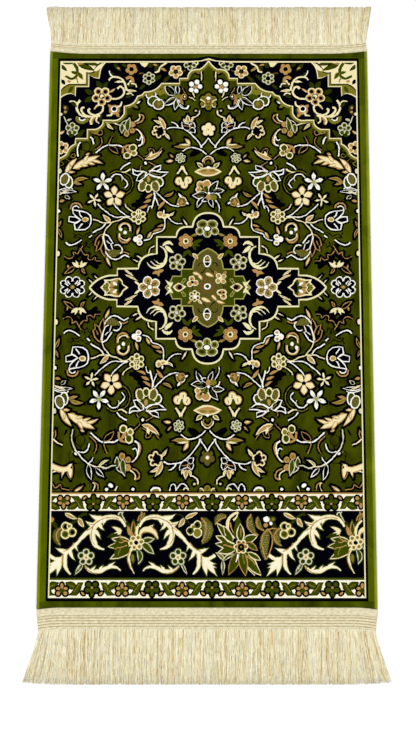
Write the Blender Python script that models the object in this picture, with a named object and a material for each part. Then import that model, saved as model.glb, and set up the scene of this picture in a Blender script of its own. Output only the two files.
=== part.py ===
"""Prayer rug laid flat: a plush pile cloth with a fringed braid sewn over each of its two ends.

Frame: metres, +Z up. The underside lies on z = 0, the origin is the middle of the footprint,
+X runs across the rug and +Y along it, towards the end with the arch (the head).
"""
import math
import random

import bmesh
import bpy

# ---------------------------------------------------------------- driving sizes (metres)
BODY_WIDTH = 0.500           # across the cloth
BODY_LENGTH = 0.900          # outer edge of one braid to the outer edge of the other
LEAN = 0.0026                # the head lies this much further to the right than the foot
PILE_THICKNESS = 0.0060      # ground weave and standing pile together
GROUND_THICKNESS = 0.0014    # ground weave alone, where a braid is sewn over it
EDGE_HEIGHT = 0.0018         # height of the upright side face
EDGE_ROUND = 0.0050          # the pile rolls over by this much at each side
SIDE_SHARE = 0.8             # or the side face is this share of a thinner edge
SEAM_STEP = 0.0008           # length of the step from pile down to ground weave
GAP = 0.0003                 # between two pieces that touch

# One row for each end.
# side: +1 head, -1 foot. braid: width of the braid. lap: part of the braid sewn over the cloth.
# ribs: cords along the rest of the braid. droop: how far the corners pull outwards.
# bend: width of the stretch that droops. taper: how much narrower the outer edge is, each side.
# fringe: length of the loose yarn. flare: how far the outermost strands splay sideways.
# fan: width of the stretch that splays. corner_reach: extra length of the yarn at the corners.
ENDS = {
    "fringe_head": {"side": 1, "braid": 0.0165, "lap": 0.0066, "ribs": 4, "droop": 0.0044,
                    "bend": 0.060, "taper": 0.0010, "fringe": 0.0638, "flare": 0.0105,
                    "fan": 0.030, "corner_reach": 0.0015},
    "fringe_foot": {"side": -1, "braid": 0.0314, "lap": 0.0110, "ribs": 8, "droop": 0.0031,
                    "bend": 0.036, "taper": 0.0030, "fringe": 0.0790, "flare": 0.0240,
                    "fan": 0.055, "corner_reach": 0.0000},
}

BRAID_THICKNESS = 0.0015     # of the plain woven part
RIB_RISE = 0.0004            # a cord stands this much over the plain part
RIB_DIP = 0.0004             # the groove between two cords lies this much under it
RAMP = 0.0020                # length of the braid's step down from the cloth to the floor
LAP_RISES = 0.18             # the lapped part is full height from this share of its width
LAP_FALLS = 0.86             # to this one

STRANDS = 150                # at each end
STRAND_GAP = 0.0007          # between two strands at their roots
STRAND_HEIGHT = 0.0013
ROOT_HEIGHT = 0.0008         # height of a strand inside the braid
ROOT_LIFT = 0.0002           # a root starts this far above the floor
ROOT_DEPTH = 0.0016          # length of a root inside the braid
TIP_SHRINK = 0.62            # width and height of a tip, as a share of the strand's
LENGTH_SPREAD = 0.0020       # the shortest strands fall this much short of the longest
WAVE_REACH = 0.0009          # sideways wave of the strands
WAVE_PITCH = 0.083           # distance across the rug over which the wave repeats
FLARE_POWER = 1.35           # how a splayed strand bends along its length
SPLAY_POWER = 1.5            # how the splay grows towards the corner
SEED = 11

# Stations along a strand: share of its loose length.
STRAND_STATIONS = (0.12, 0.56, 1.0)

CROSS_STATIONS = 9           # across the middle of the cloth
BEND_STATIONS = 6            # across each drooping corner
ROUND_STATIONS = 5           # over each rolled side edge
LENGTH_STATIONS = 9          # along the pile

HALF_WIDTH = BODY_WIDTH / 2
HALF_LENGTH = BODY_LENGTH / 2
HEAD_REACH = ENDS["fringe_head"]["fringe"] + ENDS["fringe_head"]["corner_reach"]
FOOT_REACH = ENDS["fringe_foot"]["fringe"] + ENDS["fringe_foot"]["corner_reach"]
BODY_SHIFT = (FOOT_REACH - HEAD_REACH) / 2

PILE_COLOUR = (0.045, 0.068, 0.004, 1.0)
BRAID_COLOUR = (0.72, 0.66, 0.42, 1.0)


# ---------------------------------------------------------------- scene housekeeping
def clear_scene():
    """Remove every object."""
    for item in list(bpy.data.objects):
        bpy.data.objects.remove(item, do_unlink=True)


def make_collection(name):
    """Return a new collection linked to the scene."""
    group = bpy.data.collections.new(name)
    bpy.context.scene.collection.children.link(group)
    return group


def cloth_material(name, colour, roughness):
    """Return a Principled material for yarn."""
    material = bpy.data.materials.new(name)
    material.use_nodes = True
    shader = material.node_tree.nodes["Principled BSDF"]
    shader.inputs["Base Color"].default_value = colour
    shader.inputs["Roughness"].default_value = roughness
    shader.inputs["Metallic"].default_value = 0.0
    return material


def add_object(name, form, material, group):
    """Turn a bmesh into an object with its faces pointing out."""
    bmesh.ops.recalc_face_normals(form, faces=form.faces)
    mesh = bpy.data.meshes.new(name)
    form.to_mesh(mesh)
    form.free()
    item = bpy.data.objects.new(name, mesh)
    item.data.materials.append(material)
    group.objects.link(item)
    return item


# ---------------------------------------------------------------- the rug's outline
def corner_droop(x, end):
    """How far the end line lies outside its middle at x: nothing until the corner bends out."""
    start = HALF_WIDTH - end["bend"]
    share = max(0.0, (abs(x) - start) / end["bend"])
    return end["droop"] * share ** 2


def place(x, y):
    """Shift a point of the squared-up rug into the finished frame, with its lean."""
    return x + LEAN * (y + HALF_LENGTH) / BODY_LENGTH, y + BODY_SHIFT


def end_y(x, inward, end):
    """Y of a point that lies inward of the braid's outer edge, towards the rug's middle."""
    return end["side"] * (HALF_LENGTH + corner_droop(x, end) - inward)


def spread(low, high, count):
    """Return count + 1 evenly spaced values."""
    return [low + (high - low) * step / count for step in range(count + 1)]


def width_stations():
    """Columns across the rug: close together over the corners and the rolled edges."""
    bend = max(end["bend"] for end in ENDS.values())
    inner = HALF_WIDTH - bend
    shoulder = HALF_WIDTH - EDGE_ROUND
    half = spread(inner, shoulder, BEND_STATIONS)[:-1]
    for step in range(ROUND_STATIONS + 1):
        half.append(shoulder + EDGE_ROUND * math.sin(math.pi / 2 * step / ROUND_STATIONS))
    middle = spread(-inner, inner, CROSS_STATIONS)[1:-1]
    return [-x for x in reversed(half)] + middle + half


# ---------------------------------------------------------------- the pile cloth
def edge_share(x):
    """Height of the rolled side edge: 1 over the cloth, 0 at the side face."""
    reach = max(0.0, (abs(x) - (HALF_WIDTH - EDGE_ROUND)) / EDGE_ROUND)
    return math.sqrt(max(0.0, 1.0 - reach ** 2))


def lapped_rows(end):
    """Rows of the cloth at one end, outermost first, as (inward distance, height of the top)."""
    seam = end["braid"] + GAP
    return [
        (end["braid"] - end["lap"], GROUND_THICKNESS),
        (seam, GROUND_THICKNESS),
        (seam + SEAM_STEP, PILE_THICKNESS),
    ]


def cloth_lines(columns):
    """Lines of points (x, y, height of the top) across the cloth, from its foot to its head."""
    ends = {}
    for name, end in ENDS.items():
        ends[name] = [[(x, end_y(x, inward, end), height) for x in columns]
                      for inward, height in lapped_rows(end)]
    foot = ends["fringe_foot"]
    head = ends["fringe_head"][::-1]
    middle = []
    for share in spread(0.0, 1.0, LENGTH_STATIONS)[1:-1]:
        pairs = zip(foot[-1], head[0])
        middle.append([(low[0], low[1] + (high[1] - low[1]) * share, PILE_THICKNESS)
                       for low, high in pairs])
    return foot + middle + head


def build_cloth(group, material):
    """One flat solid: pile all over, pressed down to its ground weave under the two braids."""
    form = bmesh.new()
    top = []
    base = []
    for line in cloth_lines(width_stations()):
        top_row = []
        base_row = []
        for x, y, height in line:
            side = min(EDGE_HEIGHT, height * SIDE_SHARE)
            z = side + (height - side) * edge_share(x)
            top_row.append(form.verts.new((*place(x, y), z)))
            base_row.append(form.verts.new((*place(x, y), 0.0)))
        top.append(top_row)
        base.append(base_row)
    close_slab(form, top, base)
    return add_object("rug_cloth", form, material, group)


def skin_between(form, rows):
    """Fill a grid of points with quads."""
    for near, far in zip(rows, rows[1:]):
        for index in range(len(near) - 1):
            form.faces.new((near[index], near[index + 1], far[index + 1], far[index]))


def rim(rows):
    """The points round the edge of a grid, in order."""
    left = [row[0] for row in rows]
    right = [row[-1] for row in rows]
    return rows[0] + right[1:] + rows[-1][-2::-1] + left[-2:0:-1]


def close_slab(form, top, base):
    """Skin two grids that lie over each other and join their rims."""
    skin_between(form, top)
    skin_between(form, base)
    upper = rim(top)
    lower = rim(base)
    for index, corner in enumerate(upper):
        after = (index + 1) % len(upper)
        form.faces.new((corner, upper[after], lower[after], lower[index]))


# ---------------------------------------------------------------- the fringed braids
def braid_section(end):
    """Section of a braid as (distance from its inner edge, underside, top)."""
    lap = end["lap"]
    width = end["braid"]
    seat = GROUND_THICKNESS + GAP
    inner_face = GAP
    floor = lap + RAMP
    section = [
        (inner_face, seat, seat + BRAID_THICKNESS - RIB_DIP),
        (lap * LAP_RISES, seat, seat + BRAID_THICKNESS),
        (lap * LAP_FALLS, seat, seat + BRAID_THICKNESS),
        (lap + GAP, seat, seat + BRAID_THICKNESS - RIB_DIP),
        (floor, 0.0, BRAID_THICKNESS - RIB_DIP),
    ]
    pitch = (width - floor) / end["ribs"]
    for rib in range(end["ribs"]):
        crest = floor + (rib + 0.5) * pitch
        groove = floor + (rib + 1.0) * pitch
        section.append((crest, 0.0, BRAID_THICKNESS + RIB_RISE))
        section.append((groove, 0.0, BRAID_THICKNESS - RIB_DIP))
    return section


def build_braid(end):
    """Loft the braid's section across the rug and return it as a bmesh."""
    form = bmesh.new()
    section = braid_section(end)
    columns = [x for x in width_stations() if abs(x) <= HALF_WIDTH - EDGE_ROUND]
    columns = [-HALF_WIDTH] + columns + [HALF_WIDTH]
    top = []
    base = []
    for distance, low, high in section:
        squeeze = 1.0 - end["taper"] / HALF_WIDTH * distance / end["braid"]
        top_row = []
        base_row = []
        for x in columns:
            y = end_y(x, end["braid"] - distance, end)
            spot = place(x * squeeze, y)
            top_row.append(form.verts.new((*spot, high)))
            base_row.append(form.verts.new((*spot, low)))
        top.append(top_row)
        base.append(base_row)
    close_slab(form, top, base)
    return form


def strand_sections(x_root, pitch, end, chance):
    """Yield (x, y, lift, half width, height) from a strand's root to its tip."""
    yield (x_root, end_y(x_root, ROOT_DEPTH, end), ROOT_LIFT, (pitch - STRAND_GAP) / 2, ROOT_HEIGHT)
    sign = math.copysign(1.0, x_root)
    splay = max(0.0, (abs(x_root) - (HALF_WIDTH - end["fan"])) / end["fan"])
    length = end["fringe"] + end["corner_reach"] * splay - chance.uniform(0.0, LENGTH_SPREAD)
    lean = sign * end["flare"] * splay ** SPLAY_POWER
    phase = 2 * math.pi * x_root / WAVE_PITCH
    for station in STRAND_STATIONS:
        reach = length * station * math.cos(math.atan2(abs(lean), length) * station)
        wave = WAVE_REACH * station * math.sin(phase + math.pi * station)
        x = x_root + lean * station ** FLARE_POWER + wave
        y = end_y(x_root, 0.0, end) + end["side"] * (reach - corner_droop(x_root, end) * station)
        size = 1.0 - (1.0 - TIP_SHRINK) * station ** 2
        yield (x, y, 0.0, (pitch - STRAND_GAP) / 2 * size, STRAND_HEIGHT * size)


def build_strands(end):
    """All the strands of one fringe as a bmesh: three-sided locks with a flat base."""
    form = bmesh.new()
    chance = random.Random(SEED + end["side"])
    half = HALF_WIDTH - end["taper"] - STRAND_GAP
    pitch = 2 * half / STRANDS
    for index in range(STRANDS):
        x_root = -half + (index + 0.5) * pitch
        rings = []
        for x, y, lift, width, height in strand_sections(x_root, pitch, end, chance):
            x_place, y_place = place(x, y)
            rings.append([
                form.verts.new((x_place - width, y_place, lift)),
                form.verts.new((x_place + width, y_place, lift)),
                form.verts.new((x_place, y_place, lift + height)),
            ])
        for near, far in zip(rings, rings[1:]):
            for corner in range(3):
                after = (corner + 1) % 3
                form.faces.new((near[corner], near[after], far[after], far[corner]))
        form.faces.new(rings[0])
        form.faces.new(rings[-1])
    return form


def build_fringe(name, end, group, cutters, material):
    """Fuse a fringe's strands into its braid."""
    braid = add_object(name, build_braid(end), material, group)
    strands = add_object(name + "_strands", build_strands(end), material, cutters)
    strands.hide_render = True
    strands.display_type = "WIRE"
    join = braid.modifiers.new("roots", "BOOLEAN")
    join.operation = "UNION"
    join.solver = "EXACT"
    join.object = strands
    return braid


# ---------------------------------------------------------------- assembly
def main():
    clear_scene()
    rug = make_collection("prayer_rug")
    cutters = make_collection("joined_pieces")
    pile = cloth_material("pile", PILE_COLOUR, 0.9)
    braid = cloth_material("braid", BRAID_COLOUR, 0.8)
    build_cloth(rug, pile)
    for name, end in ENDS.items():
        build_fringe(name, end, rug, cutters, braid)


main()
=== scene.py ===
import math
import random

import bpy
import numpy as np
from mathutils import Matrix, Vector, noise
from mathutils.geometry import delaunay_2d_cdt


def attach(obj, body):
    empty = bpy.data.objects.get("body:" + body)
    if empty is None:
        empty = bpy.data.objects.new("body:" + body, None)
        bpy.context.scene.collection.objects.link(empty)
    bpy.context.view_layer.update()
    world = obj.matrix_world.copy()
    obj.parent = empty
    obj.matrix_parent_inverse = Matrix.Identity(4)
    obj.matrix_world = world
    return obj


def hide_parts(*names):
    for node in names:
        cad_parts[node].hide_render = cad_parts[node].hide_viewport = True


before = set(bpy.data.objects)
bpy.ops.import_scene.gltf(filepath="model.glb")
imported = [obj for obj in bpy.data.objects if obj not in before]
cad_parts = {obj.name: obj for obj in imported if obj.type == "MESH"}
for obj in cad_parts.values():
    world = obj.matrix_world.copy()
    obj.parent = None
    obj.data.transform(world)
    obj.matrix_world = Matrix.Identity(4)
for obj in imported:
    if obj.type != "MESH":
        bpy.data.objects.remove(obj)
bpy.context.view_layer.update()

MM = 1000                    # millimetres in a metre

# ---------------------------------------------------------------- the rug's sizes, as in the CAD (metres)
BODY_WIDTH = 0.500
BODY_LENGTH = 0.900
LEAN = 0.0026                # the head lies this far to the right of the foot
PILE_THICKNESS = 0.0060
GROUND_THICKNESS = 0.0014
EDGE_HEIGHT = 0.0018         # height at which the rolled side edge starts
EDGE_ROUND = 0.0050          # width of the rolled side edge
SIDE_SHARE = 0.8             # most of the thickness that the edge's foot may take up
SEAM_STEP = 0.0008           # length of the slope at each end of the pile
GAP = 0.0003                 # between two pieces
# Each end of the rug: the way it faces, its braid's width, the braid's lap over the cloth and the
# cords that show past the lap, how far the corner pulls out and over what width, how much the braid
# narrows, the fringe's length, its flare at the corner, the width that flares, and the extra length there.
HEAD = {"side": 1, "braid": 0.0165, "lap": 0.0066, "cords": 3, "droop": 0.0044, "bend": 0.060,
        "taper": 0.0010, "fringe": 0.0638, "flare": 0.0105, "fan": 0.030, "corner_reach": 0.0015}
FOOT = {"side": -1, "braid": 0.0314, "lap": 0.0110, "cords": 5, "droop": 0.0031, "bend": 0.036,
        "taper": 0.0030, "fringe": 0.0790, "flare": 0.0240, "fan": 0.055, "corner_reach": 0.0}
BRAID_THICKNESS = 0.0015
RIB_RISE = 0.0004
RIB_DIP = 0.0004
RAMP = 0.0020                # length over which the braid steps down from the cloth to the floor
FLARE_POWER = 1.15
SPLAY_POWER = 1.5
BODY_SHIFT = 0.00685         # from the middle of the footprint to the middle of the body
HALF_WIDTH = BODY_WIDTH / 2
HALF_LENGTH = BODY_LENGTH / 2
SEED = 23

# Inks of the pile in sRGB. The last column is how much of the ground's streaks an ink shows.
INKS = {
    "field": (57, 63, 1, 1.0),
    "green": (80, 91, 2, 0.7),
    "ends": (62, 70, 2, 1.0),
    "navy": (1, 1, 7, 0.0),
    "dark": (1, 2, 0, 0.1),
    "white": (246, 245, 234, 0.0),
    "cream": (238, 225, 175, 0.0),
    "milk": (246, 240, 212, 0.0),
    "tan": (178, 138, 78, 0.0),
    "olive": (120, 114, 34, 0.1),
    "leaf": (58, 68, 1, 0.3),
    "shade": (42, 50, 1, 0.2),
    "grey": (208, 206, 172, 0.0),
    "sage": (132, 136, 66, 0.0),
    "brown": (108, 78, 34, 0.0),
    "paleline": (232, 226, 176, 0.0),
    "sageline": (160, 156, 84, 0.0),
    "umber": (88, 82, 28, 0.2),
}

# ---------------------------------------------------------------- the woven pattern
# The pattern is charted in millimetres: u across the rug from its centre line, v along it from
# the middle of the medallion, towards the arch. Shapes are laid over one another in order.
# Only the left half of what is mirrored across the centre line is listed, and only the upper half
# of what is mirrored lengthwise. All of it was read off the photograph.

MEDALLION_Y = 0.0578         # the middle of the medallion, in metres from the middle of the body
# The lower half of the field is a little longer: height in the table, extra distance below.
FOOT_SPREAD = ((0, 0), (75, 0), (110, 3), (150, 3.8), (200, 5.5), (235, 11.5), (300, 18))

# Levels across the chart, at the left, from the rug's edge inwards
CHART_SIDE = -250.4
END_SIDE = -246
FRAME_SIDE = -236.3          # outer side of the dark line round the pattern
CREAM_SIDE = -232.9          # outer side of the cream line within it
CREAM_INNER = -231.0
BORDER_SIDE = -232           # the borders reach as far as this
CORD_SIDE = -230.2           # the green line in the main border does so
FIELD_SIDE = -234
# Levels along the chart, from its head to its foot
CHART_HEAD = 380
FIELD_HEAD = 370
GREEN_HEAD = 366.7           # the plain green end starts here
CREAM_HEAD = 362.3           # outer side of the cream line
FIELD_FOOT_LINES = (("dark", -310.0, -307.6), ("tan", -312.4, -309.8))
UPPER_GUARD = (-312.0, -336.4)
MAIN_BAND = (-336.4, -437.0)
GREEN_CORD = (-433.6, -436.8)
LOWER_GUARD = (-436.8, -462.6)
DARK_FOOT = -462.6
GREEN_FOOT = -467.4
CHART_FOOT = -480
# The lines at the head rise to a point in the middle
GREEN_POINT = ((-60, 366.7), (-18, 367.6), (0, 371.0))
DARK_POINT = ((-30, 362.3), (-12, 363.4), (0, 367.2), (0, 371.0), (-18, 367.4), (-60, 366.7))
CREAM_POINT = ((-30, 360.1), (-10, 362.2), (0, 365.0), (0, 367.2), (-12, 363.4), (-30, 362.3))
CREAM_START = 359.9
CREAM_TOP = 362

ARCH_SHADE = 8.6             # width of the olive shade along the arch
ARCH_LINE = 1.9
MEDALLION_LINE = 2.7
CROSS_LINE = 1.9
CROSS_NECK = ((-23.0, 17.0), (-14.0, 14.0), (0.0, 14.0))
CROSS_HEART = ((0.0, 14.5), (-26, 14.5), (-30, 8.0), (-26.0, 0.0), (0.0, 0.0))
FIELD_CORNER = (-234.0, 363.0)
OLIVE_SHIFT = (-1.4, 1.4)    # how far the corner piece's inner bands are moved in from its edge
DARK_SHIFT = (1.0, -1.8)

GUARD_PITCH = 88.1           # from one tan flower of a narrow border to the next
GUARD_START = -212.8
GUARD_COUNT = 6
BAND_REPEAT = 323.4          # the main border repeats after this length
BAND_MIRROR = -110.5         # its scrolls are mirrored about this line

# Corners of the stepped arch, from its point down to the side: across, along, bulge of the run
# that ends there (share of its length, to the left of the way it goes).
ARCH_STEPS = (
    (0.0, 363.0, 0.0), (-13.5, 348.6, 0.06), (-19.5, 348.6, 0.0), (-32.5, 334.0, -0.22),
    (-45.5, 333.6, 0.0), (-45.5, 325.5, 0.0), (-73.5, 325.5, 0.0), (-100.0, 311.5, 0.14),
    (-104.0, 306.5, 0.0), (-111.0, 304.5, 0.0), (-131.5, 288.5, 0.18), (-131.5, 276.5, 0.0),
    (-153.0, 265.5, 0.2), (-164.5, 265.5, 0.0), (-164.5, 260.0, 0.0), (-175.5, 250.5, 0.1),
    (-188.5, 250.5, 0.0), (-188.5, 236.0, 0.0), (-206.5, 236.0, 0.0), (-207.0, 227.0, 0.0),
    (-220.0, 211.5, -0.12), (-234.0, 203.5, 0.1),
)
MEDALLION_STEPS = (
    (0.0, 117.0, 0.0), (-23.6, 96.5, -0.22), (-23.6, 95.0, 0.0), (-32.0, 95.0, 0.0),
    (-48.8, 79.0, -0.24), (-78.5, 79.0, 0.0), (-78.5, 52.5, 0.0), (-86.0, 52.0, 0.0),
    (-106.5, 29.6, -0.2), (-138.5, 29.2, 0.0), (-138.5, 19.0, 0.0), (-151.0, 18.6, 0.0),
    (-180.5, 0.0, -0.1),
)
CROSS_STEPS = (
    (0.0, 61.0, 0.0), (-23.0, 31.0, -0.16), (-23.0, 28.5, 0.0), (-40.5, 28.5, 0.0),
    (-40.5, 17.5, 0.0), (-54.0, 17.5, 0.0), (-65.0, 0.0, 0.08),
)
CORNER_OUTER = (
    (-157.0, 363.0, 0.0), (-170.0, 341.5, -0.12), (-171.0, 333.5, 0.0), (-187.0, 340.0, 0.1),
    (-187.0, 319.8, 0.0), (-207.5, 319.8, 0.0), (-208.0, 304.5, 0.0), (-218.0, 308.5, -0.15),
    (-234.0, 298.0, -0.1),
)
CORNER_INNER = (
    (-164.0, 363.0, 0.0), (-181.0, 345.0, -0.14), (-192.3, 344.5, 0.1), (-192.3, 325.0, 0.0),
    (-218.5, 325.0, 0.0), (-234.0, 305.0, -0.16),
)

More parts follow.
